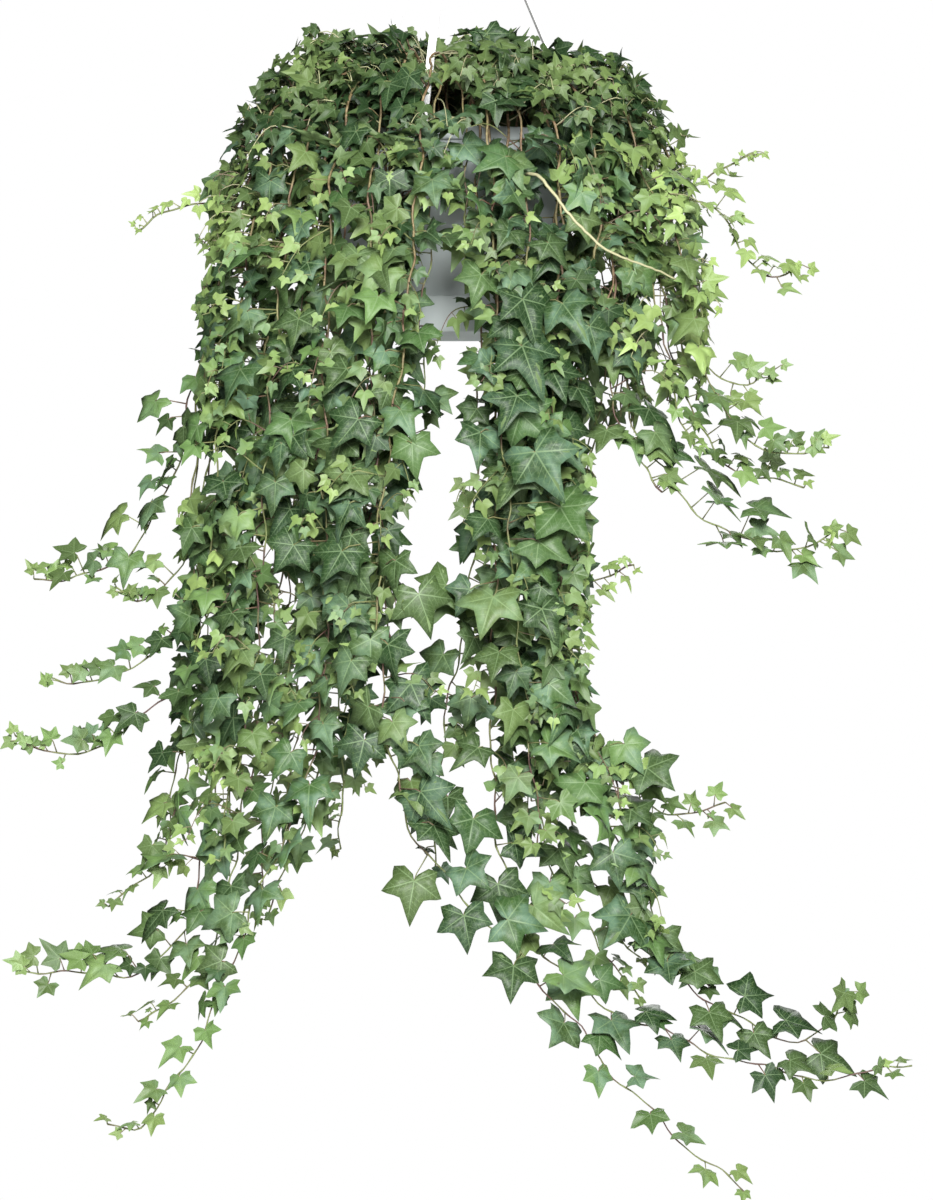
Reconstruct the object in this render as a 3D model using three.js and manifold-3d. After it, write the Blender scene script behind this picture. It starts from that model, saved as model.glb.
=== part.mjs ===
// A hanging pot of five-lobed English ivy, in millimetres, +Z up. It is seen from the -Y side.
// The origin is the seat inside the hook, which is what the whole plant hangs from.
// The pot, its clip-on saucer, the hook, three straps and the soil are turned, extruded and cut.
// Each leafy stem is one solid: a three-sided runner with its leaves and leaf stalks joined to it.
import * as THREE from "three";
import { mergeVertices } from "three/addons/utils/BufferGeometryUtils.js";
import Module from "manifold-3d";

const wasm = await Module();
wasm.setup();

// Driving dimensions. Heights are measured from the top of the pot's rim, in the plant's own group,
// and that group hangs HANG_HEIGHT below the hook's seat.
const HANG_HEIGHT = 300;
const ROUND_SIDES = 24; // facets round the pot, the saucer and the soil
const GAP = 0.3; // air between pieces that touch
const SAME_POINT = 0.001; // corners closer than this are one

const RIM_RADIUS = 120;
const RIM_WIDTH = 6;
const LIP_DROP = 12; // height of the lip that the straps clip under
const LIP_OVERHANG = 4;
const POT_WALL = 2;
const CUT_PAST = 2; // how far a cutter reaches past both faces that it goes through
const BASE_RADIUS = 88;
const OVERALL_HEIGHT = 180; // from the rim down to the underside of the saucer
const FOOT_HEIGHT = 3;
const FOOT_WIDTH = 4;
const DRAIN_RADIUS = 5;
const DRAIN_CIRCLE = 55;
const DRAIN_COUNT = 4;
const DRAIN_SIDES = 8;

const SAUCER_FLOOR = 2.2;
const SAUCER_WALL = 2;
const SAUCER_HEIGHT = 32;
const SAUCER_PLAY = 1.2; // air between the pot's wall and the saucer's
const STUD_RADIUS = 7; // snap stud of the saucer, in the middle hole of the pot's floor
const STUD_HEAD_RADIUS = 9.5;
const STUD_HEAD_HEIGHT = 3;

const SOIL_DROP = 14; // the soil's edge below the rim
const SOIL_CROWN = 3; // how much the soil rises in the middle
const ROOT_DEPTH = 26; // how deep each stem stands in the soil

const STRAP_WIDTH = 7;
const STRAP_THICKNESS = 2;
const STRAP_ANGLES = [16.5, 136.5, 256.5]; // degrees from +X, counter-clockwise seen from above
const STRAP_TOE = 2.5; // thickness of the toes at both ends of a strap
const STRAP_TOE_REACH = 3; // how far the lower toe reaches under the lip
const HUB_RADIUS = 14;
const HUB_THICKNESS = 4;
const HUB_MARGIN = 1; // from the end of a strap's upper toe to the hub's edge
const HUB_DROP = 38; // the hub's top below the hook's seat
const SLOT_RADIUS = 8; // where the straps pass through the hub
const HOOK_BAR = 2.4; // radius of the hook's bar
const HOOK_SIDES = 6;
const HOOK_STEPS = 18;
const CROOK_RADIUS = 11.5;
const CROOK_START = -50; // degrees round the crook where the shank runs into it
const CROOK_END = 205;
const CROOK_POINTS = 12;

// Runners leave the soil in three rings. The inner ones rise highest and so hang furthest out.
const LAYERS = {
  low: { root: 86, lift: 24, hang: 142 },
  mid: { root: 62, lift: 44, hang: 172 },
  high: { root: 34, lift: 66, hang: 200 },
};
// The arch from the soil to the fall, as [share of the way outwards, share of the lift].
const ARCH = [[0.1, 0.6], [0.42, 1], [0.78, 0.46]];
const FALL_HEIGHT = -45; // where a runner has turned downwards
// The bend of a short shoot, as [share of the way outwards, share of its height].
const SHOOT_BEND = [0.3, 0.5];
const COLLAR = 6; // the straight length of a runner above the soil
const RUNNER_BASE = 2.4; // corner radius of a runner's section at the soil
const RUNNER_TIP = 1.5;
const RUNNER_SIDES = 3;
const FINE_STEP = 6; // length of the steps in which a course is followed
const STATION_TURN = 30; // degrees of bend after which the runner gets a new ring
const STATION_STEP = 190; // length after which it gets one at the latest

// Leaves. Sizes are the width over the side lobes.
const BLADE = 0.8; // thickness
const STALK_HALF = 0.75; // half width of a leaf stalk
const STALK_DEPTH = 1.4;
const STALK_ROOT = 0.66; // width of a stalk inside its runner, as a share of its width at the leaf
const STALK_SINK = 0.2; // how far a stalk reaches past the middle of its runner
const KEEL_SHARE = 1 / 3; // the part of a stalk's depth that lies above its middle
const CLEARANCE = 0.35; // air kept round every leaf
const MOST_TRIES = 14; // ways a leaf is turned before its place is left empty
const PITCH = 0.62; // distance between leaf places, as a share of the leaf's size
const SPARE_LENGTH = 98; // least bare length between the leaves modelled here, besides a leaf's size
const BARE_LENGTH = 55; // length of each runner above the soil that has no leaves
const YOUNG_LENGTH = 260; // leaves get smaller over this length towards a runner's tip
const YOUNG_SIZE = 0.58; // the size of the last leaf, as a share of the full size
const SIZE_SPREAD = 0.14; // the share by which leaves differ in size
const UPPER_SIZE = 0.74; // the size of leaves beside the pot, as a share of those well below it
const UPPER_FROM = -20; // height under which they get larger
const UPPER_DEPTH = 270; // over this depth
const YOUNG_BELOW = 35; // runners with smaller leaves are young ones, in a paler green

// How a leaf is held on a level runner, on a steep one, and on one that stands out from the plant.
// Each part of it is the sum of some ways, as [share, the most that the share differs].
const HANGING_STALK = { sideways: [0.75, 0], outward: [0.68, 0.18], ahead: [0.3, 0.15], up: [0.2, 0] };
const HANGING_MIDRIB = { sideways: [0.45, 0.25], outward: [0, 0], ahead: [0.45, 0], up: [-0.6, 0.3] };
const HABITS = {
  level: {
    stalk: HANGING_STALK,
    facing: { sideways: [0, 0.3], outward: [0.4, 0], ahead: [0, 0], up: [0.8, 0] },
    midrib: HANGING_MIDRIB,
  },
  steep: {
    stalk: HANGING_STALK,
    facing: { sideways: [0, 0.3], outward: [1, 0], ahead: [0, 0], up: [0.45, 0] },
    midrib: HANGING_MIDRIB,
  },
  raised: {
    stalk: { sideways: [0.3, 0], outward: [0.35, 0], ahead: [0.3, 0.4], up: [0.9, 0] },
    facing: { sideways: [0, 0.4], outward: [0.9, 0], ahead: [0, 0], up: [0.3, 0] },
    midrib: { sideways: [0.35, 0], outward: [0, 0], ahead: [0.6, 0], up: [0.15, 0.5] },
  },
};
const STALK_LENGTH = [0.55, 0.2]; // share of the leaf's size, and how much it differs
const SWING = 14; // degrees by which a leaf is swung round its runner
const SWING_PER_TRY = 12;
const FRONT_LEAN = 130; // leaves in front face as if the pot's axis stood this far back
const LEAN_FADE = 60; // distance behind the axis at which this ends
const OUT_FROM = 215; // distance from the axis at which level runners start to hold leaves up
const OUT_FADE = 30;
const FIRST_SPREAD = 2; // number of a leaf's first draw for how it is held
const SPREAD_DRAWS = 14; // draws for each try

// Half outlines of a blade from its hind lobe to its point, as [degrees from the midrib, distance
// from the stalk, height above it], both in shares of the leaf's size.
const OUTLINES = {
  five: [[125, 0.46, -0.03], [93, 0.34, 0.03], [62, 0.58, -0.07], [30, 0.36, 0.03], [0, 0.84, -0.13]],
  four: [[124, 0.4, -0.02], [64, 0.58, -0.06], [30, 0.35, 0.03], [0, 0.86, -0.12]],
  three: [[84, 0.5, -0.04], [33, 0.31, 0.03], [0, 0.92, -0.1]],
};
const FIVE_FROM = 47; // leaves of this size and more have all five lobes
const FOUR_FROM = 30;

// Every runner: its ring, the angle at which it crosses the rim, its full leaf size, and the course
// that it hangs along, as [x, y, z] from the pot's axis and the top of the rim. On raised runners
// the leaves stand up where the runner stands out from the plant.
const RUNNERS = [
  // Left side, from the top down.
  {
    name: "left_twig", layer: "high", rim: 184, leaf: 30, raised: true,
    course: [[-249, -14, -67], [-287, -22, -85]],
  },
  {
    name: "left_sweep_1", layer: "high", rim: 193, leaf: 37, raised: true,
    course: [[-226, -60, -193], [-244, -70, -280], [-256, -76, -323], [-279, -80, -359],
      [-297, -84, -382], [-323, -88, -395], [-351, -91, -400], [-373, -93, -396]],
  },
  {
    name: "left_sweep_2", layer: "mid", rim: 199, leaf: 35, raised: true,
    course: [[-208, -84, -233], [-241, -98, -381], [-278, -106, -420], [-301, -110, -408]],
  },
  {
    name: "left_sweep_3", layer: "low", rim: 206, leaf: 36, raised: true,
    course: [[-176, -104, -224], [-220, -122, -410], [-280, -136, -472], [-330, -142, -492],
      [-359, -146, -482]],
  },
  {
    name: "left_sweep_4", layer: "high", rim: 214, leaf: 35, raised: true,
    course: [[-203, -150, -245], [-228, -164, -468], [-290, -176, -531], [-346, -184, -552],
      [-382, -188, -533]],
  },
  {
    name: "left_edge", layer: "mid", rim: 186, leaf: 37,
    course: [[-220, -34, -201], [-235, -50, -420], [-246, -62, -558], [-262, -70, -647]],
  },
  // Left tails, which spread out below.
  {
    name: "left_tail_1", layer: "low", rim: 216, leaf: 38, raised: true,
    course: [[-162, -128, -254], [-207, -148, -536], [-224, -156, -664], [-244, -160, -718],
      [-276, -164, -740], [-316, -168, -743], [-380, -174, -738]],
  },
  {
    name: "left_tail_2", layer: "high", rim: 238, leaf: 38,
    course: [[-113, -212, -257], [-120, -216, -535], [-179, -216, -692], [-197, -214, -740],
      [-217, -214, -786], [-237, -212, -826], [-276, -210, -871], [-298, -210, -868]],
  },
  {
    name: "left_tail_3", layer: "mid", rim: 226, leaf: 38,
    course: [[-135, -160, -265], [-183, -178, -593], [-227, -186, -751], [-277, -186, -780]],
  },
  {
    name: "left_tail_4", layer: "low", rim: 245, leaf: 38,
    course: [[-73, -152, -255], [-98, -166, -497], [-140, -174, -632], [-166, -176, -695]],
  },
  {
    name: "left_tail_5", layer: "high", rim: 203, leaf: 37,
    course: [[-227, -112, -254], [-235, -126, -537], [-254, -136, -634], [-302, -146, -688]],
  },
  // Left curtain in front of the pot.
  {
    name: "left_fall_1", layer: "high", rim: 226, leaf: 41,
    course: [[-161, -188, -247], [-173, -194, -458], [-205, -196, -641]],
  },
  {
    name: "left_fall_2", layer: "mid", rim: 250, leaf: 42,
    course: [[-63, -192, -247], [-84, -198, -439], [-101, -200, -602]],
  },
  {
    name: "left_fall_3", layer: "high", rim: 249, leaf: 47,
    course: [[-74, -226, -210], [-60, -238, -401], [-50, -238, -570]],
  },
  {
    name: "left_fall_4", layer: "mid", rim: 237, leaf: 42,
    course: [[-104, -168, -227], [-135, -182, -420], [-154, -190, -555]],
  },
  {
    name: "left_fall_5", layer: "mid", rim: 213, leaf: 40,
    course: [[-172, -118, -254], [-191, -128, -439], [-200, -140, -614]],
  },
  {
    name: "left_fall_6", layer: "low", rim: 194, leaf: 37,
    course: [[-162, -44, -162], [-182, -50, -380], [-194, -58, -539]],
  },
  // Front, on both sides of the open window under the pot.
  {
    name: "front_tail_1", layer: "high", rim: 261, leaf: 43,
    course: [[-43, -240, -182], [-66, -250, -401], [-38, -246, -610], [57, -236, -724],
      [153, -228, -842], [247, -220, -927]],
  },
  {
    name: "front_short", layer: "mid", rim: 264, leaf: 46,
    course: [[-23, -196, -122], [-30, -200, -185], [-24, -202, -266]],
  },
  {
    name: "front_tail_2", layer: "mid", rim: 281, leaf: 42,
    course: [[37, -188, -256], [33, -200, -468], [39, -206, -631], [91, -206, -738],
      [214, -200, -804], [318, -194, -830], [397, -190, -818]],
  },
  {
    name: "front_tail_3", layer: "high", rim: 297, leaf: 46,
    course: [[86, -200, -257], [100, -204, -477], [130, -200, -596], [152, -196, -668],
      [168, -194, -704], [190, -190, -733], [220, -188, -764], [264, -182, -790], [298, -178, -798],
      [322, -174, -787], [342, -172, -756]],
  },
  {
    name: "front_tail_4", layer: "low", rim: 290, leaf: 42,
    course: [[55, -150, -255], [60, -162, -478], [81, -170, -642], [115, -171, -699],
      [157, -172, -764]],
  },
  {
    name: "front_fall_1", layer: "low", rim: 278, leaf: 45,
    course: [[20, -158, -255], [14, -168, -380], [-14, -176, -560], [-21, -182, -656]],
  },
  {
    name: "front_fall_2", layer: "high", rim: 279, leaf: 56,
    course: [[39, -226, -238], [54, -232, -439], [73, -236, -629]],
  },
  {
    name: "front_fall_3", layer: "high", rim: 287, leaf: 47,
    course: [[67, -212, -209], [88, -216, -401], [100, -220, -554]],
  },
  {
    name: "front_fall_4", layer: "mid", rim: 301, leaf: 44,
    course: [[89, -164, -255], [90, -170, -449], [104, -174, -603]],
  },
  {
    name: "front_spray", layer: "high", rim: 309, leaf: 38,
    course: [[106, -166, -256], [98, -170, -439], [110, -168, -565], [160, -164, -591],
      [204, -161, -604], [232, -160, -596]],
  },
  // Right side, from the top down.
  {
    name: "right_twig_1", layer: "high", rim: 338, leaf: 34,
    course: [[238, -90, -80], [262, -96, -121], [284, -101, -134], [306, -104, -122]],
  },
  {
    name: "right_twig_2", layer: "high", rim: 351, leaf: 32, raised: true,
    course: [[238, -34, -33], [266, -40, -19]],
  },
  {
    name: "right_sweep_1", layer: "high", rim: 327, leaf: 38, raised: true,
    course: [[205, -132, -128], [228, -142, -243], [252, -148, -272], [291, -155, -290],
      [326, -160, -286]],
  },
  {
    name: "right_sweep_2", layer: "mid", rim: 333, leaf: 38, raised: true,
    course: [[189, -94, -155], [227, -106, -287], [303, -118, -320]],
  },
  {
    name: "right_sweep_3", layer: "mid", rim: 317, leaf: 44,
    course: [[144, -132, -186], [158, -144, -266], [209, -154, -337], [272, -164, -373],
      [304, -166, -369], [330, -168, -357]],
  },
  {
    name: "right_sweep_4", layer: "mid", rim: 346, leaf: 38, raised: true,
    course: [[202, -52, -153], [232, -60, -216], [258, -64, -227], [285, -66, -212]],
  },
  {
    name: "right_sprig", layer: "low", rim: 321, leaf: 34,
    course: [[98, -104, -244], [98, -116, -396], [158, -124, -389]],
  },
  {
    name: "right_fall_1", layer: "low", rim: 308, leaf: 42,
    course: [[86, -122, -205], [82, -130, -400], [98, -136, -488]],
  },
  { name: "right_fall_2", layer: "low", rim: 337, leaf: 40, course: [[140, -62, -143], [148, -66, -252]] },
  { name: "right_fall_3", layer: "low", rim: 356, leaf: 38, course: [[156, -10, -121], [172, -12, -236]] },
  { name: "right_fall_4", layer: "high", rim: 6, leaf: 40, course: [[217, 26, -129], [221, 30, -235]] },
  // Back, with the same window left open.
  { name: "back_right_1", layer: "mid", rim: 24, leaf: 42, course: [[160, 78, -156], [112, 88, -328]] },
  {
    name: "back_right_2", layer: "high", rim: 40, leaf: 44,
    course: [[150, 138, -153], [104, 142, -358], [90, 146, -523]],
  },
  {
    name: "back_right_3", layer: "low", rim: 52, leaf: 44,
    course: [[86, 122, -195], [74, 132, -430], [72, 140, -605]],
  },
  {
    name: "back_right_4", layer: "mid", rim: 66, leaf: 46,
    course: [[70, 172, -172], [49, 182, -379], [52, 188, -565]],
  },
  { name: "back_middle_1", layer: "low", rim: 84, leaf: 42, course: [[14, 150, -101], [12, 154, -162]] },
  { name: "back_middle_2", layer: "high", rim: 98, leaf: 44, course: [[-34, 214, -86], [-32, 216, -157]] },
  {
    name: "back_left_1", layer: "mid", rim: 116, leaf: 46,
    course: [[-91, 168, -193], [-100, 180, -420], [-108, 188, -648]],
  },
  {
    name: "back_left_2", layer: "high", rim: 128, leaf: 46,
    course: [[-145, 176, -192], [-160, 186, -441], [-187, 190, -711]],
  },
  {
    name: "back_left_3", layer: "low", rim: 142, leaf: 42,
    course: [[-123, 98, -196], [-137, 106, -420], [-154, 112, -604]],
  },
  {
    name: "back_left_4", layer: "mid", rim: 156, leaf: 44,
    course: [[-179, 84, -196], [-198, 92, -440], [-220, 98, -604]],
  },
  {
    name: "back_left_5", layer: "high", rim: 170, leaf: 44,
    course: [[-222, 42, -198], [-226, 50, -420], [-236, 56, -541]],
  },
];

// Short shoots that fill the middle of the pot.
const SHOOTS = [
  { name: "crown_shoot_1", angle: 60, root: 13, lean: 34, height: 68, leaf: 38 },
  { name: "crown_shoot_2", angle: 180, root: 15, lean: 30, height: 74, leaf: 38 },
  { name: "crown_shoot_3", angle: 300, root: 14, lean: 40, height: 66, leaf: 38 },
];

const COLOURS = {
  pot: ["#7e8786", 0.42],
  hanger: ["#f2f3ef", 0.4],
  soil: ["#2c2118", 0.95],
  leafOld: ["#33572f", 0.45],
  leafNew: ["#6f9a3c", 0.5],
};

// Sizes that follow from the driving dimensions.
const UP = new THREE.Vector3(0, 0, 1);
const { degToRad: radians, lerp, clamp, mapLinear } = THREE.MathUtils;
const SAUCER_UNDERSIDE = -OVERALL_HEIGHT;
const SAUCER_INSIDE = SAUCER_UNDERSIDE + SAUCER_FLOOR;
const SAUCER_TOP = SAUCER_UNDERSIDE + SAUCER_HEIGHT;
const POT_BOTTOM = SAUCER_INSIDE + GAP;
const FLOOR_UNDERSIDE = POT_BOTTOM + FOOT_HEIGHT;
const FLOOR_TOP = FLOOR_UNDERSIDE + POT_WALL;
const HUB_TOP = HANG_HEIGHT - HUB_DROP;
const HUB_UNDERSIDE = HUB_TOP - HUB_THICKNESS;

// Radius of the pot's outer wall under the lip, at a height.
function wallRadius(z) {
  return mapLinear(z, POT_BOTTOM, -LIP_DROP, BASE_RADIUS, RIM_RADIUS - LIP_OVERHANG);
}

// Radius of the pot's inner wall at a height.
function innerRadius(z) {
  return mapLinear(z, FLOOR_TOP, 0, BASE_RADIUS - POT_WALL, RIM_RADIUS - RIM_WIDTH);
}

// Height of the soil's surface at a distance from the pot's axis.
function soilHeight(radius) {
  const edge = innerRadius(-SOIL_DROP) - GAP;
  return -SOIL_DROP + SOIL_CROWN * (1 - radius / edge);
}

// A point at a distance from the pot's axis, an angle in degrees and a height.
function polar(radius, angle, z) {
  return new THREE.Vector3(radius * Math.cos(radians(angle)), radius * Math.sin(radians(angle)), z);
}

// A repeatable number from 0 to 1 for one draw at one leaf place of one runner.
function draw(runner, place, channel) {
  const v = Math.sin(runner * 127.1 + place * 311.7 + channel * 74.7) * 43758.5453;
  return v - Math.floor(v);
}

// The signed volume of a triangle list tells whether its faces point outwards.
function facesPointIn(positions, triangles) {
  const [a, b, c] = [new THREE.Vector3(), new THREE.Vector3(), new THREE.Vector3()];
  let sixfold = 0;
  for (let i = 0; i < triangles.length; i += 3) {
    a.fromArray(positions, triangles[i] * 3);
    b.fromArray(positions, triangles[i + 1] * 3);
    c.fromArray(positions, triangles[i + 2] * 3);
    sixfold += a.dot(b.cross(c));
  }
  return sixfold < 0;
}

// A closed geometry as a solid that can be joined and cut.
function toSolid(geometry) {
  const bare = geometry.index ? geometry.toNonIndexed() : geometry.clone();
  bare.deleteAttribute("normal");
  bare.deleteAttribute("uv");
  const merged = mergeVertices(bare, SAME_POINT);
  const positions = merged.attributes.position.array;
  const triangles = [];
  for (let i = 0; i < merged.index.count; i += 3) {
    const corners = [0, 1, 2].map((k) => merged.index.getX(i + k));
    if (new Set(corners).size === 3) {
      triangles.push(...corners);
    }
  }
  if (facesPointIn(positions, triangles)) {
    triangles.reverse();
  }
  return new wasm.Manifold(
    new wasm.Mesh({
      numProp: 3,
      vertProperties: new Float32Array(positions),
      triVerts: new Uint32Array(triangles),
    }),
  );
}

// A solid as a geometry for a mesh.
function toGeometry(solid) {
  const mesh = solid.getMesh();
  const geometry = new THREE.BufferGeometry();
  geometry.setAttribute("position", new THREE.Float32BufferAttribute(mesh.vertProperties, 3));
  geometry.setIndex([...mesh.triVerts]);
  geometry.computeVertexNormals();
  return geometry;
}

// A profile of [radius, height] points turned round the pot's axis.
function turned(profile) {
  const points = profile.map(([radius, z]) => new THREE.Vector2(radius, z));
  return new THREE.LatheGeometry(points, ROUND_SIDES).rotateX(Math.PI / 2);
}

// An upright prism of a few sides, with one corner pointing away from the pot's axis.
function upright(radius, sides, foot, height) {
  const geometry = new THREE.CylinderGeometry(radius, radius, height, sides);
  geometry.rotateX(Math.PI / 2);
  const outward = Math.atan2(foot.y, foot.x);
  geometry.rotateZ(outward + Math.PI / 2);
  return geometry.translate(foot.x, foot.y, foot.z + height / 2);
}

function makePot() {
  const hole = STUD_RADIUS + GAP;
  const profile = [
    [hole, FLOOR_UNDERSIDE],
    [BASE_RADIUS - FOOT_WIDTH, FLOOR_UNDERSIDE],
    [BASE_RADIUS - FOOT_WIDTH, POT_BOTTOM],
    [BASE_RADIUS, POT_BOTTOM],
    [RIM_RADIUS - LIP_OVERHANG, -LIP_DROP],
    [RIM_RADIUS, -LIP_DROP],
    [RIM_RADIUS, 0],
    [RIM_RADIUS - RIM_WIDTH, 0],
    [innerRadius(FLOOR_TOP), FLOOR_TOP],
    [hole, FLOOR_TOP],
    [hole, FLOOR_UNDERSIDE],
  ];
  let pot = toSolid(turned(profile));
  for (let i = 0; i < DRAIN_COUNT; i += 1) {
    const foot = polar(DRAIN_CIRCLE, ((i + 0.5) * 360) / DRAIN_COUNT, FLOOR_UNDERSIDE - CUT_PAST);
    pot = pot.subtract(toSolid(upright(DRAIN_RADIUS, DRAIN_SIDES, foot, POT_WALL + 2 * CUT_PAST)));
  }
  return pot;
}

function makeSaucer() {
  const inner = (z) => wallRadius(z) + SAUCER_PLAY;
  const headUnderside = FLOOR_TOP + GAP;
  const profile = [
    [0, SAUCER_UNDERSIDE],
    [inner(SAUCER_UNDERSIDE) + SAUCER_WALL, SAUCER_UNDERSIDE],
    [inner(SAUCER_TOP) + SAUCER_WALL, SAUCER_TOP],
    [inner(SAUCER_TOP), SAUCER_TOP],
    [inner(SAUCER_INSIDE), SAUCER_INSIDE],
    [STUD_RADIUS, SAUCER_INSIDE],
    [STUD_RADIUS, headUnderside],
    [STUD_HEAD_RADIUS, headUnderside],
    [STUD_HEAD_RADIUS, headUnderside + STUD_HEAD_HEIGHT],
    [0, headUnderside + STUD_HEAD_HEIGHT],
  ];
  return toSolid(turned(profile));
}

// The soil fills the pot down to its floor, with a pocket over the saucer's stud and a hole for
// every runner.
function makeSoil(roots) {
  const bottom = FLOOR_TOP + GAP;
  const pocket = STUD_HEAD_RADIUS + GAP;
  const pocketTop = bottom + STUD_HEAD_HEIGHT + GAP;
  const edge = -SOIL_DROP;
  const profile = [
    [0, pocketTop],
    [pocket, pocketTop],
    [pocket, bottom],
    [innerRadius(bottom) - GAP, bottom],
    [innerRadius(edge) - GAP, edge],
    [0, edge + SOIL_CROWN],
  ];
  let soil = toSolid(turned(profile));
  for (const root of roots) {
    const foot = root.clone().addScaledVector(UP, -GAP);
    const hole = upright(RUNNER_BASE + 2 * GAP, RUNNER_SIDES, foot, ROOT_DEPTH + COLLAR);
    soil = soil.subtract(toSolid(hole));
  }
  return soil;
}

// A flat strip of even thickness along a bent line, as the outline of its edge.
function ribbonOutline(line, thickness) {
  const left = [];
  const right = [];
  line.forEach((point, i) => {
    const before = line[Math.max(i - 1, 0)];
    const after = line[Math.min(i + 1, line.length - 1)];
    const arriving = point.clone().sub(before).normalize();
    const leaving = after.clone().sub(point).normalize();
    const along = arriving.add(leaving).normalize();
    const run = (i === 0 ? leaving : point.clone().sub(before)).normalize();
    const across = new THREE.Vector2(-along.y, along.x);
    const mitre = thickness / 2 / Math.abs(across.dot(new THREE.Vector2(-run.y, run.x)));
    left.push(point.clone().addScaledVector(across, mitre));
    right.unshift(point.clone().addScaledVector(across, -mitre));
  });
  return [...left, ...right];
}

// One strap, drawn in the plane of its angle as (distance from the axis, height): its lower toe
// sits under the pot's lip, and its upper toe lies on the hub, past a slot.
function makeStrap(angle) {
  const outside = RIM_RADIUS + GAP + STRAP_THICKNESS / 2;
  const underLip = -LIP_DROP - GAP;
  const toeInside = RIM_RADIUS - STRAP_TOE_REACH;
  const overHub = HUB_TOP + GAP;
  const band = ribbonOutline(
    [
      new THREE.Vector2(outside, underLip - STRAP_TOE),
      new THREE.Vector2(outside, STRAP_THICKNESS),
      new THREE.Vector2(SLOT_RADIUS, HUB_UNDERSIDE - STRAP_THICKNESS),
      new THREE.Vector2(SLOT_RADIUS, overHub + STRAP_TOE),
    ],
    STRAP_THICKNESS,
  );
  const lowerToe = [
    [toeInside, underLip - STRAP_TOE],
    [outside, underLip - STRAP_TOE],
    [outside, underLip],
    [toeInside, underLip],
  ];
  const upperToe = [
    [SLOT_RADIUS, overHub],
    [HUB_RADIUS - HUB_MARGIN, overHub],
    [HUB_RADIUS - HUB_MARGIN, overHub + STRAP_TOE],
    [SLOT_RADIUS, overHub + STRAP_TOE],
  ];
  const toes = [lowerToe, upperToe].map((toe) => toe.map(([r, z]) => new THREE.Vector2(r, z)));
  const settings = { depth: STRAP_WIDTH, bevelEnabled: false };
  const pieces = [band, ...toes].map((outline) => {
    const geometry = new THREE.ExtrudeGeometry(new THREE.Shape(outline), settings);
    geometry.translate(0, 0, -STRAP_WIDTH / 2).rotateX(Math.PI / 2).rotateZ(radians(angle));
    return toSolid(geometry);
  });
  return pieces.reduce((whole, piece) => whole.add(piece));
}

// The hub and its hook. The hook's seat is the origin of the whole object.
function makeHook() {
  const crookHeight = HANG_HEIGHT + HOOK_BAR - CROOK_RADIUS;
  const line = [new THREE.Vector3(0, 0, HUB_UNDERSIDE + HOOK_BAR)];
  line.push(new THREE.Vector3(0, 0, HUB_TOP + 2 * HOOK_BAR));
  for (let i = 0; i <= CROOK_POINTS; i += 1) {
    const turn = radians(lerp(CROOK_START, CROOK_END, i / CROOK_POINTS));
    line.push(
      new THREE.Vector3(CROOK_RADIUS * Math.cos(turn), 0, crookHeight + CROOK_RADIUS * Math.sin(turn)),
    );
  }
  const section = new THREE.Shape();
  for (let i = 0; i < HOOK_SIDES; i += 1) {
    const turn = (i * 2 * Math.PI) / HOOK_SIDES;
    const corner = [HOOK_BAR * Math.cos(turn), HOOK_BAR * Math.sin(turn)];
    if (i === 0) {
      section.moveTo(...corner);
    } else {
      section.lineTo(...corner);
    }
  }
  const extrudePath = new THREE.CatmullRomCurve3(line);
  const bar = new THREE.ExtrudeGeometry(section, { extrudePath, steps: HOOK_STEPS, bevelEnabled: false });
  const disc = new THREE.CylinderGeometry(HUB_RADIUS, HUB_RADIUS, HUB_THICKNESS, ROUND_SIDES);
  disc.rotateX(Math.PI / 2).translate(0, 0, HUB_TOP - HUB_THICKNESS / 2);
  let hook = toSolid(disc).add(toSolid(bar));
  for (const angle of STRAP_ANGLES) {
    const slot = new THREE.BoxGeometry(
      STRAP_THICKNESS + 2 * GAP,
      STRAP_WIDTH + 2 * GAP,
      HUB_THICKNESS + 2 * CUT_PAST,
    );
    slot.translate(SLOT_RADIUS, 0, HUB_TOP - HUB_THICKNESS / 2).rotateZ(radians(angle));
    hook = hook.subtract(toSolid(slot));
  }
  return hook;
}

// The points of a runner's course above the soil, from its collar to its tip.
function runnerPoints({ layer, rim, course }) {
  const { root, lift, hang } = LAYERS[layer];
  const points = [polar(root, rim, soilHeight(root) + COLLAR)];
  for (const [out, rise] of ARCH) {
    points.push(polar(root + out * (hang - root), rim, rise * lift));
  }
  points.push(polar(hang, rim, FALL_HEIGHT));
  points.push(...course.map((place) => new THREE.Vector3(...place)));
  return points;
}

function shootPoints({ angle, root, lean, height }) {
  const collar = polar(root, angle, soilHeight(root) + COLLAR);
  const [out, rise] = SHOOT_BEND;
  return [collar, polar(root + lean * out, angle, height * rise), polar(root + lean, angle, height)];
}

// The places along a course where the runner has a ring: one after every bend.
function stationsAlong(points) {
  const curve = new THREE.CatmullRomCurve3(points);
  const fine = curve.getSpacedPoints(Math.ceil(curve.getLength() / FINE_STEP));
  const stations = [fine[0]];
  let heading = fine[1].clone().sub(fine[0]).normalize();
  for (let i = 1; i < fine.length - 1; i += 1) {
    const ahead = fine[i + 1].clone().sub(fine[i]).normalize();
    const bent = heading.angleTo(ahead) > radians(STATION_TURN);
    if (bent || fine[i].distanceTo(stations.at(-1)) > STATION_STEP) {
      stations.push(fine[i]);
      heading = ahead;
    }
  }
  stations.push(fine.at(-1));
  return stations;
}

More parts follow.
